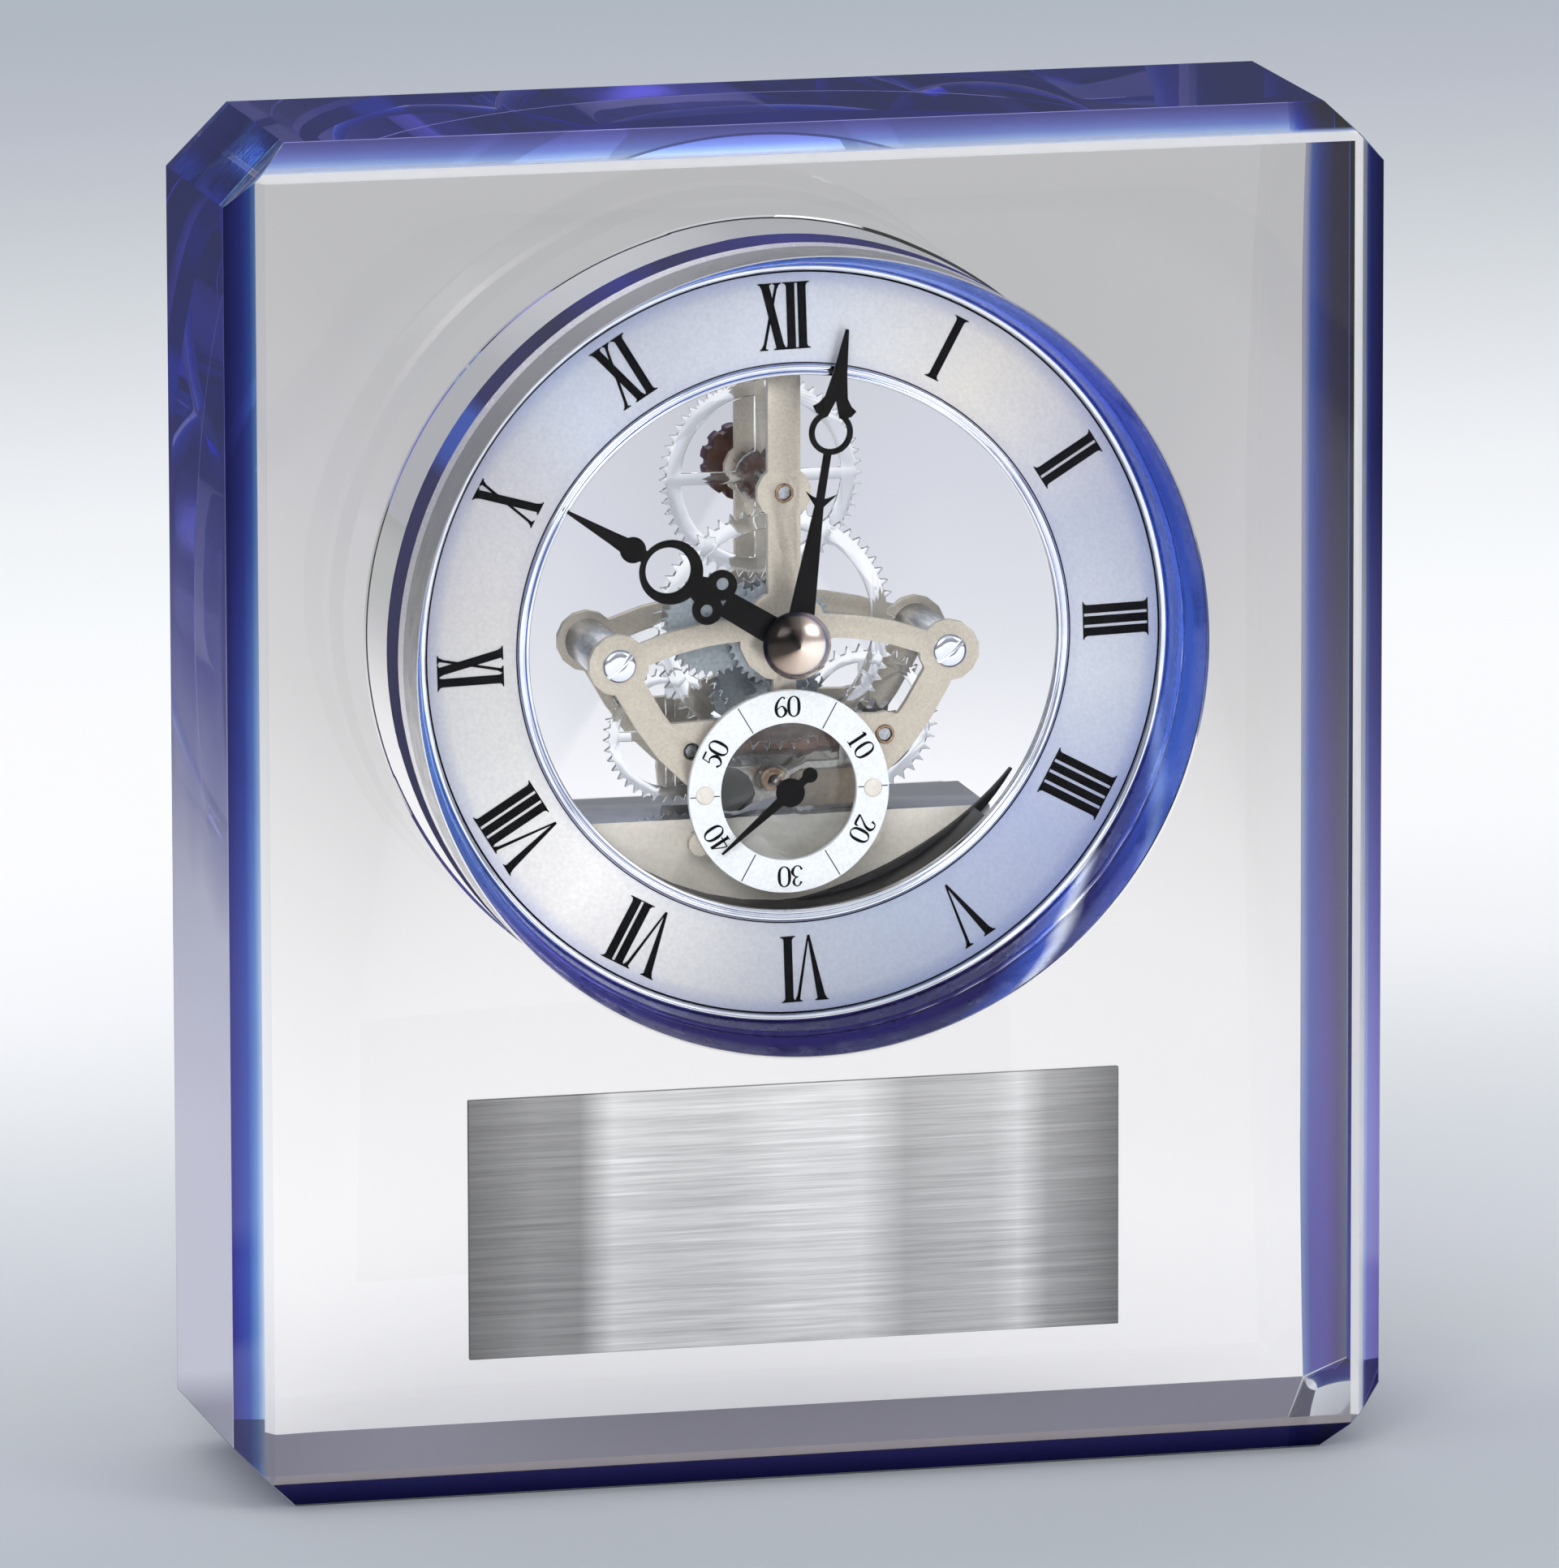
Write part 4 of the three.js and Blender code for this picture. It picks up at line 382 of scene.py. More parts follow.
# Enamel, lacquer, mouldings, sheet and wire: even colour over the grain of their making.
ENAMEL = plain_finish("black_enamel", "#060506", "#0e0d0f", 0.5, (0.3, 0.45),
                      Specular_IOR_Level=0.12)
INK = plain_finish("black_numeral_enamel", "#050508", "#0d0d12", 0.6, (0.4, 0.55),
                   Specular_IOR_Level=0.08)
BLACK_PLASTIC = plain_finish("black_moulded_plastic", "#121214", "#222226", 0.4, (0.38, 0.5))
WHITE_PLASTIC = plain_finish("white_spacer_lacquer", "#e9e5ea", "#fbf8fb", 0.5, (0.2, 0.3), 0.9)
ALUMINIUM = plain_finish("satin_aluminium_barrel", "#b4b9c4", "#d3d7e0", 0.7, (0.25, 0.38), 0.9,
                         (6, 1, 6))
BEIGE = plain_finish("beige_moulded_plastic", "#dcd6ca", "#e9e4da", 0.5, (0.35, 0.48))
WHITE_DIAL = plain_finish("white_seconds_dial", "#e2e7ea", "#f3f6f8", 0.4)
WHEEL_GREY = plain_finish("grey_moulded_wheel", "#8f99a1", "#b4bdc4", 0.5, (0.25, 0.4), 0.1)
BROWN = plain_finish("brown_moulded_plastic", "#4a2c22", "#6e4536", 0.7, (0.25, 0.4))
COPPER = plain_finish("copper_wire", "#5c3a2a", "#8a6248", 0.25, (0.25, 0.4), 0.8, (8, 1, 1))
BOARD = plain_finish("phenolic_circuit_board", "#8a7a64", "#a3927a", 0.6, (0.25, 0.4))
STATOR = plain_finish("stator_sheet_steel", "#8e8a86", "#c2bfba", 0.5, (0.25, 0.4), 0.9)
JACKET = plain_finish("cell_jacket_film", "#323e50", "#48586e", 1.2, (0.2, 0.32))
print("materials:", len(bpy.data.materials))

# %% [markdown]
# ## Shape tools
# Turned pieces are lathed from an outline of radius and depth. Flat pieces are drawn as overlapping
# outlines with holes. The outlines are merged in the plane before they get a thickness, so each piece
# is one clean body without hidden walls, and a fine bevel lets its edges catch light.

# %% Shape tools
def linked(name, data):
    """A new object, linked to the scene."""
    made = bpy.data.objects.new(name, data)
    bpy.context.scene.collection.objects.link(made)
    return made


def smoothed(mesh, angle):
    """Smooth shading up to an edge angle in degrees."""
    mesh.shade_smooth()
    mesh.set_sharp_from_angle(angle=math.radians(angle))


def object_from(name, points, faces, finish, smooth=40):
    """A mesh object at the origin, its doubled points merged and its normals facing outwards."""
    mesh = bpy.data.meshes.new(name)
    mesh.from_pydata([tuple(p) for p in points], [], faces)
    mesh.validate()
    mesh.materials.append(finish)
    work = bmesh.new()
    work.from_mesh(mesh)
    bmesh.ops.remove_doubles(work, verts=work.verts, dist=1e-7)
    bmesh.ops.recalc_face_normals(work, faces=work.faces)
    work.to_mesh(mesh)
    work.free()
    smoothed(mesh, smooth)
    return linked(name, mesh)


def from_bmesh(work, name, *finishes):
    """An object from a bmesh, which is then freed."""
    mesh = bpy.data.meshes.new(name)
    for finish in finishes:
        mesh.materials.append(finish)
    work.to_mesh(mesh)
    work.free()
    return linked(name, mesh)


def baked(made):
    """Applies an object's modifiers to its mesh."""
    graph = bpy.context.evaluated_depsgraph_get()
    mesh = bpy.data.meshes.new_from_object(made.evaluated_get(graph), depsgraph=graph)
    old = made.data
    made.modifiers.clear()
    made.data = mesh
    bpy.data.meshes.remove(old)
    mesh.name = made.name
    return made


def bevelled(made, width_mm, segments=2, angle=35):
    """Rounds the edges that are sharper than the angle in degrees."""
    modifier = made.modifiers.new("Bevel", "BEVEL")
    modifier.width = width_mm / 1000
    modifier.segments = segments
    modifier.limit_method = "ANGLE"
    modifier.angle_limit = math.radians(angle)
    baked(made)
    smoothed(made.data, angle)
    return made


def lathe(name, place, outline, finish, segments=160, closed=True, smooth=30):
    """A piece turned about Y from [radius, depth] points."""
    points, faces, rings = [], [], []
    for radius, depth in outline:
        count = 1 if radius < 1e-6 else segments
        rings.append([len(points) + i % count for i in range(segments)])
        points += [at(x, depth, z) for x, z in circle(*place, radius, count)]
    for a, b in zip(rings, rings[1:] + rings[:1] if closed else rings[1:]):
        for i in range(segments):
            j = (i + 1) % segments
            corners = list(dict.fromkeys((a[i], a[j], b[j], b[i])))
            if len(corners) > 2:
                faces.append(corners)
    return object_from(name, points, faces, finish, smooth)


def circle(x, z, radius, count):
    return [about((x, z), radius, 360 * i / count) for i in range(count)]


def mirrored(*half):
    """A closed outline from the (x, z) points of its right half."""
    return [*half, *((-x, z) for x, z in reversed(half) if x)]


def joined(name, parts):
    """Several mesh objects as one object."""
    work = bmesh.new()
    for part in parts:
        work.from_mesh(part.data)
    finishes = list(parts[0].data.materials)
    for part in parts:
        bpy.data.objects.remove(part)
    return from_bmesh(work, name, *finishes)


def dress(piece, slot, *nodes, body="case"):
    """The piece rides on a body and stands for these CAD nodes."""
    if nodes:
        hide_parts(*nodes)
    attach(piece, body)
    return piece


def paint(node, finish):
    """A CAD node keeps its shape and takes a finish."""
    for slot in frame["nodes"][node].material_slots:
        slot.link = "OBJECT"
        slot.material = finish


# %% [markdown]
# ## Camera, lights and floor
# The camera stands where a least squares fit of the block's edges in the photograph puts it.

# %% Camera, lights and floor
def aim(thing, target):
    thing.rotation_euler = (Vector(target) - thing.location).to_track_quat("-Z", "Y").to_euler()


def camera():
    focal_pixels, photo_height = 21226, 1932
    azimuth, elevation, distance = math.radians(13.68), math.radians(11.05), 2.205
    target = Vector((-0.00475, -0.02175, 0.09194))
    forward = Vector((math.sin(azimuth) * math.cos(elevation),
                      math.cos(azimuth) * math.cos(elevation), -math.sin(elevation)))
    data = bpy.data.cameras.new("camera")
    data.sensor_fit = "VERTICAL"
    data.sensor_height = 36
    data.lens = focal_pixels * data.sensor_height / photo_height
    data.clip_end = 50
    made = linked("camera", data)
    made.location = target - distance * forward
    made.rotation_euler = forward.to_track_quat("-Z", "Y").to_euler()
    made.rotation_euler.rotate_axis("Z", math.radians(-0.15))
    bpy.context.scene.camera = made


def lamp(name, place, size, power):
    """A white area light, aimed at the middle of the block."""
    data = bpy.data.lights.new(name, "AREA")
    data.shape = "RECTANGLE"
    data.size, data.size_y = size
    data.energy = power
    made = linked(name, data)
    made.location = place
    aim(made, (0, 0, 0.08))


def world():
    """An even pale studio, with a dim strip low behind the object that only reflections show."""
    made = bpy.data.worlds.new("studio")
    made.use_nodes = True
    tree = made.node_tree
    parts = add(tree, "SeparateXYZ", add(tree, "TexCoord").outputs["Generated"]).outputs
    height = add(tree, "MapRange", parts["Z"], -0.3, 1)
    strip = add(tree, "ValToRGB", height, stops="0 #565a8a 0.42 #5a5e8c 0.52 #b9bfd0 0.64 #eef1f6")
    aside = add(tree, "Math", parts["X"], operation="ABSOLUTE")
    away = add(tree, "Math", aside, 0.6, parts["Y"], operation="MULTIPLY_ADD")
    near = add(tree, "MapRange", away, -0.05, 0.3)
    room = add(tree, "Mix", near, "#ffffff", strip, data_type="RGBA")
    beyond = add(tree, "ValToRGB", height, stops="0 #a6a8ad 0.4 #a6a8ad 0.6 #eef1f6")
    ray = add(tree, "LightPath").outputs
    passed = add(tree, "Mix", ray["Is Transmission Ray"], room, beyond, data_type="RGBA")
    fill(tree, tree.nodes["Background"], Strength=1.0,
         Color=add(tree, "Mix", ray["Is Camera Ray"], passed, "#eef1f5", data_type="RGBA"))
    bpy.context.scene.world = made


def floor_finish():
    """Pale floor whose grey fades to white and back with distance.

    What shows through the glass is a neutral floor, cooler where a ray has crossed more than three
    surfaces. What only reflects from a surface is a floor with a band of painted shade under and just
    behind the block.
    """
    made, tree, shader = material("pale_floor")
    parts = object_parts(tree)
    away = add(tree, "MapRange", parts["Y"], -0.1, 1.3)
    seen = add(tree, "ValToRGB", away, stops=(
        "0.03 #b2b7bc 0.065 #b6bac1 0.103 #c5c9cc 0.145 #d0d2d6 0.188 #d6d9dc 0.234 #e3e5e5 "
        "0.28 #efeff0 0.35 #f6f5f4 0.45 #f6f5f4 0.5 #f2f3f2 0.566 #eceded 0.634 #e0e2e3 "
        "0.709 #d2d5d7 0.786 #c4c8cb 0.87 #b8bbc3 0.96 #afb5bb"))
    through = add(tree, "ValToRGB", away, stops=(
        "0 #d6d7da 0.085 #fbf9f6 0.19 #fbf9f6 0.245 #f5f3f0 0.306 #eceae7 0.371 #dfddda "
        "0.443 #cccac7 0.52 #bebbbb 0.6 #b5b4b3 0.79 #adada9"))
    window = add(tree, "ValToRGB", away, stops=(
        "0.35 #ffffff 0.41 #f2f1f3 0.47 #dcdde1 0.543 #d0d1d8 0.7 #c0c1c6 0.9 #b8bac0"))
    ray = add(tree, "LightPath").outputs
    deep = add(tree, "Math", ray["Transmission Depth"], 3.5, operation="GREATER_THAN")
    behind = add(tree, "Mix", deep, through, window, data_type="RGBA")
    side = add(tree, "Math", parts["X"], operation="ABSOLUTE")
    beside = add(tree, "Math", side, 0.15, operation="SUBTRACT")
    outside = add(tree, "Math", beside, 0.0, operation="MAXIMUM")
    around = add(tree, "Math", outside, 1.5, parts["Y"], operation="MULTIPLY_ADD")
    # The dark band at the block's foot, seen only in reflections, is painted shade.
    reflected = add(tree, "ValToRGB", add(tree, "MapRange", around, -0.1, 0.6), stops=(
        "0 #f4f5f8 0.1 #f4f5f8 0.115 #2a2c44 0.2 #2a2c44 0.23 #e6e8ef 0.45 #d9dbe6 "
        "0.75 #80849e 1 #5b6088"))
    near = add(tree, "Mix", ray["Is Glossy Ray"], seen, reflected, data_type="RGBA")
    fill(tree, shader, Roughness=0.9, Specular_IOR_Level=0.0,
         Base_Color=add(tree, "Mix", ray["Is Transmission Ray"], near, behind, data_type="RGBA"))
    return made


def floor():
    """A wide sheet just below the foot, so that the block doesn't share a surface with it."""
    reach, under = 6, -0.0002
    corners = [(x * reach, y * reach, under) for x, y in ((-1, -1), (1, -1), (1, 1), (-1, 1))]
    object_from("floor", corners, [(0, 1, 2, 3)], floor_finish())


camera()
world()
floor()
lamp("key", (-1.0, -2.2, 1.3), (1.4, 1.0), 29)
lamp("fill", (1.5, -1.6, 1.0), (1.2, 0.8), 12)
lamp("back", (0.3, 1.8, 1.4), (1.6, 0.8), 3)
scene = bpy.context.scene
scene.view_settings.view_transform = "Standard"
scene.cycles.max_bounces = 24
scene.cycles.glossy_bounces = 12
scene.cycles.transmission_bounces = 20

# %% [markdown]
# ## Glass block
# A solid block with ground bevels and a through bore. A thin film just inside its sides and bevels
# carries their tints, painted reflections of the room. It bends no light, so where it is clear it only
# colours what passes.

# %% Glass block
def octagon(inset, extra=0):
    """The block's outline at a bevel inset; extra moves the cut corners inwards too."""
    wide, high = BLOCK_WIDTH / 2, BLOCK_HEIGHT / 2
    w, h = wide - inset, high - inset
    reach = wide + high - CORNER_CUT - extra * math.sqrt(2)
    a, b = min(reach - w, h), min(reach - h, w)
    middle = high - BORE_HEIGHT
    ring = [(w, a), (b, h), (-b, h), (-w, a), (-w, -a), (-b, -h), (b, -h), (w, -a)]
    return [(x, z + middle) for x, z in ring]


def layers(outlines):
    """The points of several outlines, each at its depth."""
    return [at(x, depth, z) for outline, depth in outlines for x, z in outline]


def bands(start, rings, count):
    """Faces between neighbouring rings of count points, the first ring's points from index start."""
    return [(a + i, a + (i + 1) % count, a + count + (i + 1) % count, a + count + i)
            for a in range(start, start + (rings - 1) * count, count) for i in range(count)]


def glass_block():
    """Five outlines make the shell and four rings the bore, joined by the front and the back face."""
    segments, edge = 256, 0.2
    shell = [(octagon(EDGE_BEVEL + FACET), 0), (octagon(EDGE_BEVEL), FACET_DEPTH),
             (octagon(0), EDGE_BEVEL), (octagon(0), BLOCK_DEPTH - BACK_EDGE),
             (octagon(BACK_EDGE), BLOCK_DEPTH)]
    bore = [(circle(0, 0, radius, segments), depth) for radius, depth in (
        (BORE_RADIUS + edge, 0), (BORE_RADIUS, edge), (BORE_RADIUS, BLOCK_DEPTH - edge),
        (BORE_RADIUS + edge, BLOCK_DEPTH))]
    points = layers(shell + bore)
    bore_start = 8 * len(shell)
    faces = bands(0, 5, 8) + bands(bore_start, 4, segments)
    for corner, rim in ((0, bore_start), (32, bore_start + 3 * segments)):
        # The front and the back outline have two points at each corner, so every other one will do.
        loops = [range(corner, corner + 8, 2), range(rim, rim + segments)]
        index = [i for loop in loops for i in loop]
        flat = [[Vector((points[i].x, points[i].z, 0)) for i in loop] for loop in loops]
        faces += [tuple(index[i] for i in t) for t in tessellate_polygon(flat)]
    return object_from("glass_block", points, faces, GLASS, 20)


def edge_kind(normal, depth):
    """The finish for a piece of the tint sheet, from the way it faces and its depth."""
    along = "corner" if min(abs(normal.x), abs(normal.z)) > 0.2 else (
        "side" if abs(normal.x) > abs(normal.z) else "top" if normal.z > 0 else "foot")
    right = normal.x > 0
    if abs(normal.y) > 0.85:
        # The front facet: painted highlight at the top and right, painted reflection at the foot.
        return {"side": PAINTED_HIGHLIGHT_FACET if right else CLEAR_FACET, "top": PAINTED_HIGHLIGHT_FACET,
                "foot": FOOT_FACET}.get(along, PAINTED_HIGHLIGHT_FACET if normal.z > 0 else CLEAR_FACET)
    if along == "corner":
        return CORNER
    if depth > BLOCK_DEPTH - BACK_EDGE:
        return FOOT_BACK if along == "foot" else BACK_BEVEL
    if depth < EDGE_BEVEL:
        return {"side": RIGHT_BEVEL if right else LEFT_BEVEL, "top": TOP_BEVEL, "foot": FOOT_BEVEL}[along]
    return {"side": RIGHT_FACE if right else LEFT_FACE, "top": TOP_FACE, "foot": FOOT_FACE}[along]


def edge_tint():
    """A thin tinted sheet inside the sides and bevels."""
    inside = 0.12
    slant = inside * math.sqrt(2)
    levels = [(EDGE_BEVEL + FACET, 0.08), (EDGE_BEVEL + slant * 0.7, FACET_DEPTH + inside),
              (inside, EDGE_BEVEL + inside * 0.41), (inside, BLOCK_DEPTH - BACK_EDGE - inside * 0.41),
              (BACK_EDGE + slant, BLOCK_DEPTH - 0.03)]
    points = layers([(octagon(inset, inside), depth) for inset, depth in levels])
    made = object_from("block_edge_tint", points, bands(0, len(levels), 8), LEFT_FACE, 20)
    for face in made.data.polygons:
        outward = 1 if face.normal.dot(face.center - at(0, BLOCK_DEPTH / 2, 0)) > 0 else -1
        finish = edge_kind(face.normal * outward, face.center.y * 1000 + BLOCK_DEPTH / 2)
        if finish.name not in made.data.materials:
            made.data.materials.append(finish)
        face.material_index = made.data.materials.find(finish.name)
    return made


block = dress(glass_block(), "optical_glass", "crystal_block")
dress(edge_tint(), "optical_glass")
print("block faces:", len(block.data.polygons))

# %% [markdown]
# ## Rings round the insert
# Seen through the glass, the bore shows a dark bezel skirt, a white spacer and a blue gasket. The
# real ones press on the bore wall, so these reach a few hundredths of a millimetre into the glass.
# That stops the wall from acting as a mirror there, as glue or a tight fit does.

# %% Bore rings and bezel
TOUCH = BORE_RADIUS + 0.03


def ring(name, finish, front, back, inner, outer, edge=0.05):
    """A turned ring with softened edges."""
    return lathe(name, CENTRE, [
        [inner, front + edge], [inner + edge, front], [outer - edge, front], [outer, front + edge],
        [outer, back - edge], [outer - edge, back], [inner + edge, back], [inner, back - edge],
    ], finish)


dress(ring("bezel_skirt", GREY_METAL, 0.6, SPACER_FRONT, 51.98, TOUCH, 0.01), "polished_chrome")
dress(ring("spacer_ring", WHITE_PLASTIC, SPACER_FRONT, GASKET_FRONT, RING_INSIDE, TOUCH),
      "white_plastic", "case_spacer")
dress(ring("gasket_ring", BLUE_RUBBER, GASKET_FRONT, GASKET_BACK, RING_INSIDE, TOUCH),
      "blue_rubber", "case_gasket")
bezel = dress(lathe("bezel_cone", CENTRE, [
    [51.97, 0.75], [51.97, 12.95], [49.98, 12.95], [49.98, 11.42], [49.5, 11.42], [49.5, 10.75],
    [49.75, 9.4], [50.0, 7.7], [50.02, 7.24], [50.62, 7.2], [50.7, 7.1], [50.7, 6.1], [50.85, 5.86],
    [51.25, 5.5], [51.6, 4.6], [51.78, 3.0], [51.88, 1.2],
], PAINTED_REFLECTION_CHROME, 240, smooth=50), "polished_chrome", "front_bezel")
dress(lathe("bezel_lip", CENTRE, [
    [48.62, 11.38], [48.6, 11.0], [48.7, 10.78], [48.9, 10.66], [49.15, 10.6], [49.38, 10.66],
    [49.48, 10.8], [49.5, 11.38],
], CHROME, 240, smooth=60), "polished_chrome")
print("bezel:", len(bezel.data.polygons), "faces")

# %% [markdown]
# ## Dial
# The ring is satin silver sheet with black enamel numerals that stand 0.12 mm proud. Each numeral
# is drawn from strokes.

# %% Merging flat outlines
def merged_flat(shapes, holes):
    """Points and faces of the union of flat outlines, less the holes."""
    points, faces = [], []
    for loop in (*shapes, *holes):
        doubled = sum(a[0] * b[1] - b[0] * a[1] for a, b in zip(loop, (*loop[1:], loop[0])))
        faces.append(list(range(len(points), len(points) + len(loop))))
        points += [Vector(p) for p in (loop if doubled > 0 else reversed(loop))]
    cells = delaunay_2d_cdt(points, [], faces, 0, 1e-6, True)
    kept = [f for f, ids in zip(cells[2], cells[5])
            if any(i < len(shapes) for i in ids) and not any(i >= len(shapes) for i in ids)]
    return cells[0], kept


def cut_sheet(name, shapes, holes, front, back, finish, place=CENTRE, turn=0, bevel=0.06, segments=2):
    """A sheet piece from overlapping outlines, turned clockwise about its own middle."""
    flat, triangles = merged_flat(shapes, holes)
    cosine, sine = math.cos(math.radians(turn)), math.sin(math.radians(turn))
    work = bmesh.new()
    corners = [work.verts.new(at(place[0] + x * cosine + z * sine, front,
                                 place[1] + z * cosine - x * sine)) for x, z in flat]
    for triangle in triangles:
        work.faces.new([corners[i] for i in triangle])
    bmesh.ops.delete(work, geom=[v for v in work.verts if not v.link_faces], context="VERTS")
    bmesh.ops.dissolve_limit(work, angle_limit=math.radians(0.5), verts=work.verts, edges=work.edges)
    raised = bmesh.ops.extrude_face_region(work, geom=list(work.faces))
    moved = [v for v in raised["geom"] if isinstance(v, bmesh.types.BMVert)]
    bmesh.ops.translate(work, verts=moved, vec=(0, (back - front) / 1000, 0))
    bmesh.ops.recalc_face_normals(work, faces=work.faces)
    made = from_bmesh(work, name, finish)
    if bevel:
        bevelled(made, bevel, segments)
    return made


# %% Numerals
HEAD = NUMERAL_HEIGHT / 2


def bar_stroke(foot, head, width, foot_width=None):
    """One straight stroke, level at both ends."""
    a, b = (foot_width or width) / 2, width / 2
    return [(foot - a, -HEAD), (foot + a, -HEAD), (head + b, HEAD), (head - b, HEAD)]


def serif(left, right, end, reach=0.45):
    """A hairline with a small bracket at each side, across the end of one or more strokes."""
    into = -end / abs(end)
    line = [(left - reach, end), (right + reach, end), (right + reach, end + 0.16 * into),
            (left - reach, end + 0.16 * into)]
    left_bracket = [(left - reach, end), (left + 0.1, end), (left + 0.1, end + 0.75 * into),
                    (left - 0.12, end + 0.3 * into)]
    return [line, left_bracket, [(left + right - x, z) for x, z in left_bracket]]


# Each letter's left and right limit and its outlines.
LETTERS = {
    "I": (-0.55, 0.55, [bar_stroke(0, 0, 1.1)]),
    "V": (-2.1, 1.8, [bar_stroke(-0.02, -1.6, 1.1, 0.3), bar_stroke(0.02, 1.6, 0.42, 0.2),
                      *serif(-2.1, -1.1, HEAD, 0.4), *serif(1.4, 1.8, HEAD, 0.4)]),
    "X": (-1.35, 1.6, [bar_stroke(1.1, -0.85, 1.1), bar_stroke(-1.15, 0.75, 0.36),
                       *serif(-1.35, -0.35, HEAD, 0.4), *serif(0.6, 0.9, HEAD, 0.4),
                       *serif(0.6, 1.6, -HEAD, 0.4), *serif(-1.3, -1.0, -HEAD, 0.4)]),
}


def numeral_outlines(text, gap=0.38):
    """The outlines of a Roman numeral, centred; neighbouring bars share one serif."""
    outlines, x, run = [], 0, None
    for i, letter in enumerate(text):
        left, right, loops = LETTERS[letter]
        outlines += [[(px + x - left, z) for px, z in loop] for loop in loops]
        if letter == "I":
            run = run if run is not None else x
            if i + 1 == len(text) or text[i + 1] != "I":
                outlines += serif(run, x + right - left, HEAD) + serif(run, x + right - left, -HEAD)
                run = None
        x += right - left + gap
    return [[(px - (x - gap) / 2, z) for px, z in loop] for loop in outlines]


numerals = []
for hour, text in enumerate("XII I II III IIII V VI VII VIII IX X XI".split()):
    angle = hour * 30 - DIAL_TURN
    numerals.append(cut_sheet(
        "numeral", numeral_outlines(text), [], DIAL_FRONT - NUMERAL_PROUD, DIAL_FRONT + SUNK, INK,
        about(CENTRE, NUMERAL_RADIUS, angle), angle, 0.03, 1))
numerals = dress(joined("dial_numerals", numerals), "black_enamel")
dress(lathe("dial_face", CENTRE, [
    [DIAL_OPENING, 12.35], [DIAL_OPENING, 11.45], [DIAL_OPENING + 0.05, DIAL_FRONT],
    [37.5, DIAL_FRONT], [41, DIAL_FRONT], [45, DIAL_FRONT], [49.6, DIAL_FRONT], [49.68, 11.48],
    [49.68, 12.35], [49.6, 12.4], [35.7, 12.4],
], DIAL, 256), "satin_silver", "dial_ring")
# Two thin black rings on the dial, beside the inner rim and the bezel lip, are painted shadow lines.
dress(joined("dial_edge_lines", [
    ring("line", INK, DIAL_FRONT - PRINT_PROUD, DIAL_FRONT + SUNK, inner, outer, 0.01)
    for inner, outer in ((36.5, 36.66), (48.32, 48.58))
]), "black_enamel")
dress(lathe("dial_rim", CENTRE, [
    [35.0, 12.38], [34.98, 11.1], [35.08, 10.98], [35.25, 10.93], [35.42, 11.0], [35.5, 11.14],
    [35.62, 11.2], [35.75, 11.08], [36.0, 10.98], [36.25, 11.06], [36.42, 11.2], [36.46, 11.39],
    [35.52, 11.39], [35.5, 12.38],
], CHROME, 200, smooth=60), "polished_chrome", "dial_inner_rim")
print("numerals:", len(numerals.data.polygons), "faces")

# %% [markdown]
# ## Hands
# The hands are stamped sheet with a black enamel. Their outlines are given in hundredths of their
# length, as discs and polygons that overlap, with pierced holes.

# %% Hands
def hand(name, length, angle, depth, discs, outlines, hole_discs, hole_outlines, body, node):
    """One hand: discs are (x, z, radius), and angle is its place at rest, clockwise from twelve."""
    k = length / 100
    shapes, holes = (
        [circle(x * k, z * k, r * k, count) for x, z, r in round_ones]
        + [[(x * k, z * k) for x, z in loop] for loop in loops]
        for round_ones, loops, count in ((discs, outlines, 56), (hole_discs, hole_outlines, 44)))
    made = cut_sheet(name, shapes, holes, depth, depth + 0.4, ENAMEL, CENTRE, angle, 0.09, 3)
    return dress(made, "black_enamel", node, body=body)


minute = hand(
    "minute_hand_sheet", 41.4, 9.4, 9.8, [(0, 0, 8.2), (0, 67.4, 7)],
    [mirrored((4.8, 0), (1.3, 45.7), (1.2, 62.6)),
     mirrored((1.2, 43.7), (5.1, 48.3), (2.5, 46.9), (0, 46.1)),
     mirrored((3.4, 72.2), (5.6, 72.9), (7, 74.9), (5.2, 76.2), (3.6, 78.5), (2.2, 86), (0.5, 100))],
    [(0, 67.4, 5.2)], [mirrored((2.4, 70.8), (0.9, 75), (0, 77.5))], "centre", "minute_hand")
hour = hand(
    "hour_hand_sheet", 35.3, -58.2, 10.4,
    [(0, 0, 12.2), (-5.1, 35.7, 5.7), (5.1, 35.7, 5.7), (0, 40.8, 5.1), (0, 54.7, 11.9), (0, 71.4, 4.8)],
    [mirrored((5.4, 0), (4.8, 31.2)), mirrored((2.3, 64.3), (2.5, 71.4)),
     mirrored((3.4, 71.4), (2.4, 80), (0.6, 100))],
    [(0, 56.1, 8.5), (-5.7, 35.7, 2.3), (5.7, 35.7, 2.3)], [], "hour", "hour_hand")
dress(lathe("dome_nut_turned", CENTRE, [
    [0, 7.8], [0.9, 7.84], [1.8, 7.98], [2.6, 8.2], [3.25, 8.5], [3.8, 8.86], [4.2, 9.28],
    [4.38, 9.55], [4.45, 9.62], [4.45, 9.78], [0, 9.8],
], NICKEL_PAINTED_REFLECTION, 96, closed=False, smooth=60), "polished_nickel", "dome_nut", body="centre")
dress(cut_sheet("seconds_hand_sheet", [
    circle(0, 0, 1.9, 40), circle(0, -3.4, 1.0, 28), mirrored((0.5, 0), (0.55, -3.4)),
    mirrored((0.7, 0), (0.14, 11.9)),
], [], 13.45, 13.8, ENAMEL, SECONDS, 229.8), "black_enamel", "seconds_hand", body="seconds")
print("hands:", len(minute.data.polygons) + len(hour.data.polygons), "faces")

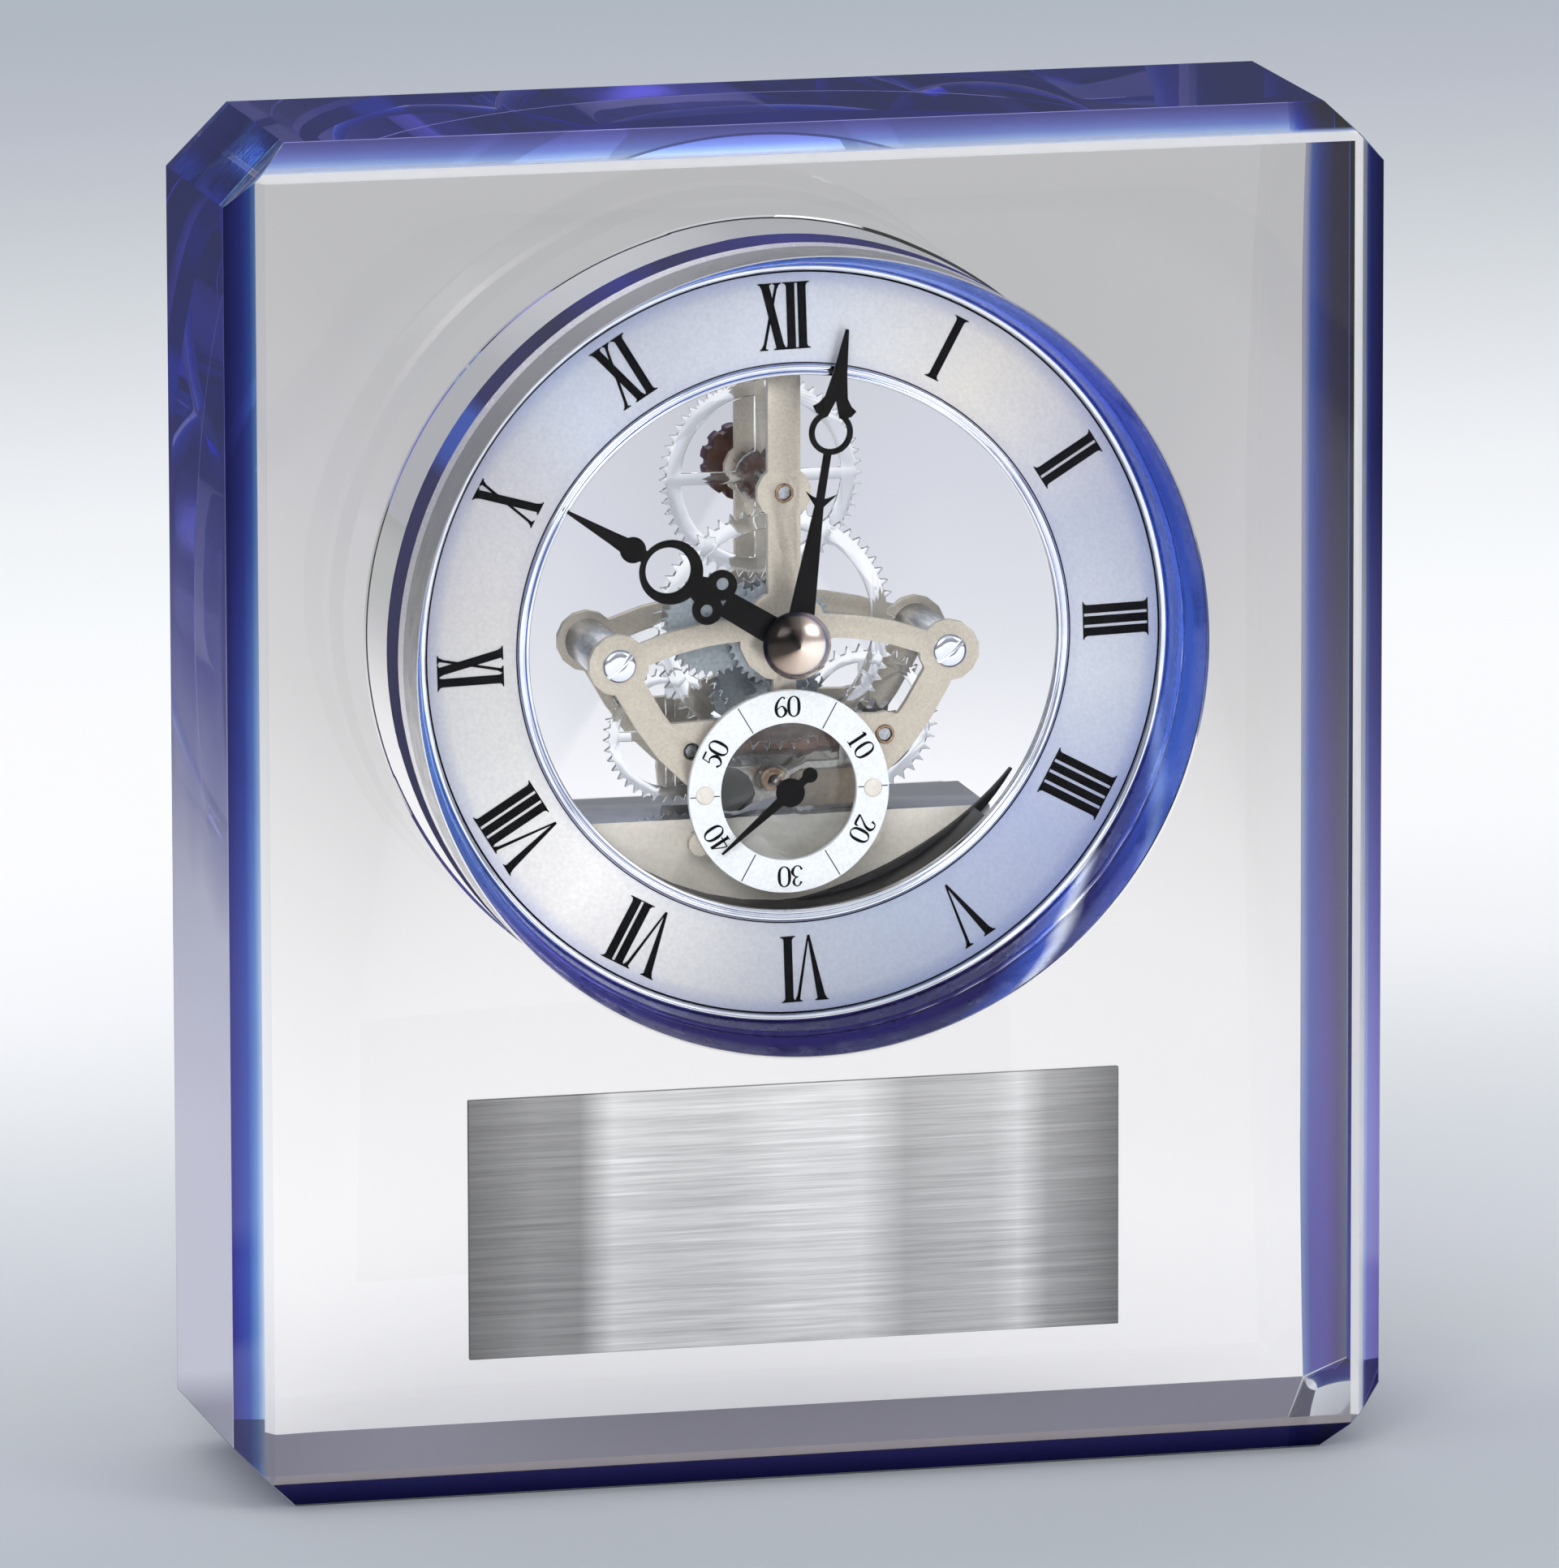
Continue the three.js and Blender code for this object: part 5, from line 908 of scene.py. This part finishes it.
# %% [markdown]
# ## Seconds dial
# A white printed ring stands on two pins. Its numbers read outwards, with a hairline half-way
# between neighbours. A few pen strokes of changing width draw each digit, thin across and thick down.

# %% Digits
def pen(points, steps=6):
    """Outlines along a smooth line of (x, z, width) points, a loop where the last repeats the first."""
    def padded(line):
        return [line[-2], *line, line[1]] if points[0] == points[-1] else [line[0], *line, line[-1]]

    line = padded(points)
    spine = []
    for picks in zip(line, line[1:], line[2:], line[3:]):
        for step in range(steps):
            t = step / steps
            spine.append([0.5 * (2 * b + (c - a) * t + (2 * a - 5 * b + 4 * c - d) * t * t
                                 + (3 * b - a - 3 * c + d) * t ** 3)
                          for a, b, c, d in zip(*picks)])
    spine.append(list(points[-1]))
    line = padded(spine)
    sides = []
    for before, (x, z, width), after in zip(line, line[1:], line[2:]):
        along = Vector((after[0] - before[0], after[1] - before[1])).normalized()
        side = Vector((-along.y, along.x)) * width / 2
        sides.append((tuple(Vector((x, z)) + side), tuple(Vector((x, z)) - side)))
    return [[a, b, d, c] for (a, b), (c, d) in zip(sides, sides[1:])]


THICK, THIN = 0.15, 0.05
DIGITS = {
    "0": [[(0, 0.48, THIN), (0.2, 0.34, 0.11), (0.25, 0, THICK), (0.2, -0.34, 0.11), (0, -0.48, THIN),
           (-0.2, -0.34, 0.11), (-0.25, 0, THICK), (-0.2, 0.34, 0.11), (0, 0.48, THIN)]],
    "1": [[(0, -0.5, THICK), (0, 0.48, THICK)], [(-0.16, 0.36, THIN), (0, 0.46, 0.08)],
          [(-0.17, -0.475, THIN), (0.17, -0.475, THIN)]],
    "2": [[(-0.2, 0.24, 0.13), (-0.14, 0.43, 0.06), (0.04, 0.47, 0.07), (0.19, 0.33, THICK),
           (0.14, 0.08, 0.12), (-0.06, -0.2, 0.07), (-0.24, -0.44, 0.06)],
          [(-0.26, -0.45, 0.1), (0.2, -0.45, 0.12), (0.27, -0.28, THIN)]],
    "3": [[(-0.2, 0.27, 0.12), (-0.1, 0.44, 0.06), (0.06, 0.46, 0.06), (0.17, 0.31, 0.13),
           (0.1, 0.1, 0.07), (-0.05, 0.04, THIN)],
          [(-0.05, 0.04, THIN), (0.12, 0, 0.07), (0.23, -0.22, THICK), (0.08, -0.46, 0.06),
           (-0.12, -0.46, 0.06), (-0.23, -0.3, 0.12)]],
    "4": [[(0.08, -0.5, THICK), (0.08, 0.48, THICK)],
          [(0.06, 0.46, THIN), (-0.12, 0.14, THIN), (-0.27, -0.2, THIN)],
          [(-0.28, -0.21, 0.06), (0.26, -0.21, 0.06)], [(-0.05, -0.48, THIN), (0.2, -0.48, THIN)]],
    "5": [[(0.22, 0.45, 0.09), (-0.14, 0.44, 0.09)], [(-0.14, 0.46, THIN), (-0.19, 0.06, THIN)],
          [(-0.19, 0.06, THIN), (0.02, 0.13, 0.07), (0.22, -0.06, THICK), (0.18, -0.33, 0.12),
           (-0.02, -0.47, 0.06), (-0.22, -0.33, 0.12)]],
    "6": [[(0.2, 0.4, 0.09), (0.04, 0.46, 0.06), (-0.18, 0.2, 0.12), (-0.24, -0.12, THICK),
           (-0.16, -0.38, 0.11), (0.02, -0.47, 0.06), (0.2, -0.34, 0.12), (0.22, -0.16, THICK),
           (0.05, 0.04, 0.06), (-0.17, -0.1, 0.05)]],
}


def number_outlines(text, height, pitch=0.62):
    """The outlines of a printed number, centred; pitch is the step between digits over the height."""
    start = -(len(text) - 1) * pitch / 2
    return [[((x + start + i * pitch) * height, z * height) for x, z in loop]
            for i, digit in enumerate(text) for stroke in DIGITS[digit] for loop in pen(stroke)]


# %% Seconds dial pieces
SECONDS_FRONT = 14.4
NUMBER_RADIUS = 11.15
DIVIDER = mirrored((0.06, -1.95), (0.06, 1.95))
marks = []
for i, text in enumerate("60 10 20 30 40 50".split()):
    angle = i * 60 - 1
    for name, outlines, turn in (("number", number_outlines(text, 2.75), angle),
                                 ("divider", [DIVIDER], angle + 30)):
        marks.append(cut_sheet(
            name, outlines, [], SECONDS_FRONT - PRINT_PROUD, SECONDS_FRONT + SUNK, INK,
            about(SECONDS, NUMBER_RADIUS, turn), turn, 0))
marks = dress(joined("seconds_numbers", marks), "black_enamel")
dress(lathe("seconds_ring", SECONDS, [
    [9, 15.15], [9, 14.46], [9.06, SECONDS_FRONT], [11, SECONDS_FRONT], [13.24, SECONDS_FRONT],
    [13.3, 14.46], [13.3, 15.15], [13.24, 15.2], [9.06, 15.2],
], WHITE_DIAL, 128), "white_dial", "seconds_dial")
dress(joined("seconds_dial_pins", [
    lathe("pin", (x, SECONDS[1]), [
        [0, 14.12], [0.95, 14.14], [1.12, 14.2], [1.2, 14.32], [1.2, 16.55], [0, 16.58],
    ], BEIGE, 40, closed=False, smooth=50) for x in (-NUMBER_RADIUS, NUMBER_RADIUS)
]), "white_dial")
print("seconds numbers:", len(marks.data.polygons), "faces")

# %% [markdown]
# ## Screws and coil with Geometry Nodes
# Three equal screws hold the front plate. One head is modelled, and a node tree puts a copy on each
# point, turned by that point's own value. The coil's wire is a long helix, so another node tree
# sweeps a round wire along it.

# %% Node tree tools
def geometry_tree(name, inputs):
    """A geometry node tree with named number inputs."""
    tree = bpy.data.node_groups.new(name, "GeometryNodeTree")
    tree.interface.new_socket("Geometry", in_out="INPUT", socket_type="NodeSocketGeometry")
    for title, value in inputs.items():
        socket = tree.interface.new_socket(title, in_out="INPUT", socket_type="NodeSocketFloat")
        socket.default_value = value
    tree.interface.new_socket("Geometry", in_out="OUTPUT", socket_type="NodeSocketGeometry")
    return tree, tree.nodes.new("NodeGroupInput"), tree.nodes.new("NodeGroupOutput")


def finish_tree(tree, shape, finish, result):
    """Makes a shape real, coats it and links it to the tree's output."""
    real = add(tree, "GeometryNodeRealizeInstances", Geometry=shape)
    coat = add(tree, "GeometryNodeSetMaterial", Geometry=real.outputs["Geometry"], Material=finish)
    fill(tree, result, Geometry=coat.outputs["Geometry"])


def grow(made, tree, values):
    """Puts the tree on an object, sets its inputs and keeps the result as a plain mesh."""
    modifier = made.modifiers.new("Nodes", "NODES")
    modifier.node_group = tree
    for item in tree.interface.items_tree:
        if item.name in values:
            modifier[item.identifier] = values[item.name]
    return baked(made)


# %% Screws
def screw_head():
    """A chamfered cheese head with a sawn slot, about the origin, facing -Y."""
    head = lathe("screw", CENTRE, [
        [0, 0], [1.2, 0.02], [1.75, 0.08], [2.0, 0.2], [2.15, 0.36], [2.2, 0.5], [2.2, 0.8], [0, 0.8],
    ], CHROME, 64, closed=False, smooth=40)
    saw = cut_sheet("saw", [mirrored((3, -0.3), (3, 0.3))], [], -1, 0.45, CHROME, bevel=0)
    modifier = head.modifiers.new("Slot", "BOOLEAN")
    modifier.object = saw
    modifier.solver = "EXACT"
    baked(head)
    bpy.data.objects.remove(saw)
    head.data.transform(Matrix.Translation(-at(0, 0, 0)))
    bevelled(head, 0.05, 2, 30)
    return head


def screw_tree(head):
    """A copy of the head on each point, turned by the point's own value."""
    tree, source, result = geometry_tree("screws_on_points", {"Scale": 1.0})
    copy = add(tree, "GeometryNodeObjectInfo", Object=head)
    turn = add(tree, "GeometryNodeInputNamedAttribute", data_type="FLOAT", Name="turn")
    spin = add(tree, "CombineXYZ", Y=turn.outputs["Attribute"])
    placed = add(tree, "GeometryNodeInstanceOnPoints", Points=source.outputs["Geometry"],
                 Instance=copy.outputs["Geometry"], Rotation=spin.outputs["Vector"],
                 Scale=source.outputs["Scale"])
    finish_tree(tree, placed.outputs["Instances"], CHROME, result)
    return tree


SCREWS = ((-21.9, -2.9, 0.75), (21.9, -2.9, 0.65), (0, 44.1, 0.2))
head = screw_head()
mesh = bpy.data.meshes.new("plate_screws")
mesh.from_pydata([at(x, 15.8, z) for x, z, _ in SCREWS], [], [])
mesh.attributes.new("turn", "FLOAT", "POINT").data.foreach_set("value", [-t for *_, t in SCREWS])
screws = linked("plate_screws", mesh)
grow(screws, screw_tree(head), {"Scale": 1.0})
bpy.data.objects.remove(head)
dress(screws, "polished_chrome", "plate_screw_left", "plate_screw_right", "plate_screw_top")
print("screws:", len(screws.data.polygons), "faces")


# %% Coil winding
WINDING = {"Turns": 74.0, "Radius": 0.00162, "Length": 0.0154, "Wire": 0.00011}


def winding_tree():
    """A round wire swept along a helix about the coil's axis."""
    tree, source, result = geometry_tree("wound_wire", WINDING)
    given = source.outputs
    helix = add(tree, "GeometryNodeCurveSpiral", Resolution=16, Rotations=given["Turns"],
                Start_Radius=given["Radius"], End_Radius=given["Radius"], Height=given["Length"])
    wire = add(tree, "GeometryNodeCurvePrimitiveCircle", Resolution=5, Radius=given["Wire"])
    swept = add(tree, "GeometryNodeCurveToMesh", Curve=helix.outputs["Curve"],
                Profile_Curve=wire.outputs["Curve"], Fill_Caps=True)
    laid = add(tree, "GeometryNodeTransform", Geometry=swept.outputs["Mesh"],
               Rotation=(0, math.pi / 2, 0), Translation=tuple(at(-7.7, 25.3, -15.6)))
    finish_tree(tree, laid.outputs["Geometry"], COPPER, result)
    return tree


winding = linked("coil_winding", bpy.data.meshes.new("coil_winding"))
grow(winding, winding_tree(), WINDING)
winding.data.shade_smooth()
dress(winding, "copper_winding")
print("winding:", len(winding.data.polygons), "faces")

# %% [markdown]
# ## Nameplate
# A thin sheet of brushed steel with softened corners, glued to the glass.

# %% Nameplate
PLATE_FOOT, PLATE_TOP = -89.2, -55.2
plate = dress(cut_sheet("nameplate_sheet", [[
    (PLATE_LEFT, PLATE_FOOT), (PLATE_RIGHT, PLATE_FOOT), (PLATE_RIGHT, PLATE_TOP),
    (PLATE_LEFT, PLATE_TOP),
]], [], -0.8, -0.01, NAMEPLATE, bevel=0.12, segments=3), "brushed_steel", "nameplate")
print("nameplate:", len(plate.data.polygons), "faces")

# %% [markdown]
# ## Pieces that keep their CAD outline
# Moulded and stamped pieces are copied from the frame, their flat facets are merged and their edges
# softened, because a real edge always catches a thin line of light.

# %% Softened copies
def softened(node, finish, width_mm):
    """A copy of a CAD node with softened edges, which then stands for it."""
    source = frame["nodes"][node]
    work = bmesh.new()
    work.from_mesh(source.data)
    bmesh.ops.remove_doubles(work, verts=work.verts, dist=2e-7)
    bmesh.ops.dissolve_limit(work, angle_limit=math.radians(1), verts=work.verts, edges=work.edges)
    made = bevelled(from_bmesh(work, node + "_finished", finish), width_mm)
    bodies = frame["record"]["behaviour"]["bodies"]
    body = next(name for name, nodes in bodies.items() if node in nodes)
    return dress(made, source.data.materials[0].name.split(".")[0], node, body=body)


# Each finish with its bevel widths in millimetres and the nodes that get them.
for finish, widths in (
    (ALUMINIUM, {0.1: "case_barrel"}), (LENS, {0.15: "rear_cover"}),
    (BLACK_PLASTIC, {0.08: "dial_arc_support", 0.1: "rotor_housing"}),
    (NICKEL, {0.14: "front_plate", 0.1: "rear_plate rear_seconds_bridge"}),
    (STEEL, {0.1: "pillar_left pillar_right", 0.04: "idler_wheel",
             0.05: "battery_contact_plus battery_contact_minus setting_drive_wheel"}),
    (STATOR, {0.05: "motor_stator"}), (BOARD, {0.05: "circuit_board"}),
    (BRONZE, {0.06: "seconds_bush bush_top bush_right"}), (JACKET, {0.3: "battery_cell"}),
    (BEIGE, {0.25: "battery_box", 0.2: "battery_door"}),
    (CLEAR_PLASTIC, {0.06: "centre_wheel third_wheel setting_wheel", 0.05: "seconds_wheel motor_wheel"}),
    (WHEEL_GREY, {0.05: "hour_pipe minute_wheel fourth_wheel"}),
    (BROWN, {0.08: "setting_drum", 0.25: "setting_knob"}),
):
    for width, nodes in widths.items():
        for node in nodes.split():
            softened(node, finish, width)
# The battery box's top faces take a blue-grey metallic finish: a painted reflection.
box_lid = bpy.data.objects["battery_box_finished"].data
box_lid.materials.append(plain_finish("glossy_box_top", "#5d6474", "#aab2c4", 9, (0.06, 0.12), 0.7))
for face in box_lid.polygons:
    if face.normal.z > 0.9:
        face.material_index = 1

# %% Black crescent behind the dial ring, at the lower right: painted shade
# A black sheet where the space behind the dial ring lies in shade: painted shade.
FIRST, LAST, STEP = 122, 188, 3
HALF = (LAST - FIRST) / 2
crescent = [about(CENTRE, 36.6, angle) for angle in range(FIRST, LAST + 1, STEP)]
crescent += [about(CENTRE, 36.3 - 1.9 * math.cos(math.radians((angle - FIRST - HALF) * 90 / HALF)), angle)
             for angle in range(LAST, FIRST - 1, -STEP)]
crescent = dress(cut_sheet("support_crescent", [crescent], [], 19.3, 20.2, BLACK_PLASTIC, bevel=0.08),
                 "black_plastic")
print("crescent:", len(crescent.data.polygons), "faces")

# %% CAD nodes that need only a finish
paint("front_lens", LENS)
paint("motor_coil", COPPER)
for node in ("motion_stud", "fourth_stud", "idler_stud", "battery_contact_spring", "centre_arbor",
             "third_arbor", "seconds_arbor", "motor_arbor", "setting_arbor"):
    paint(node, STEEL)
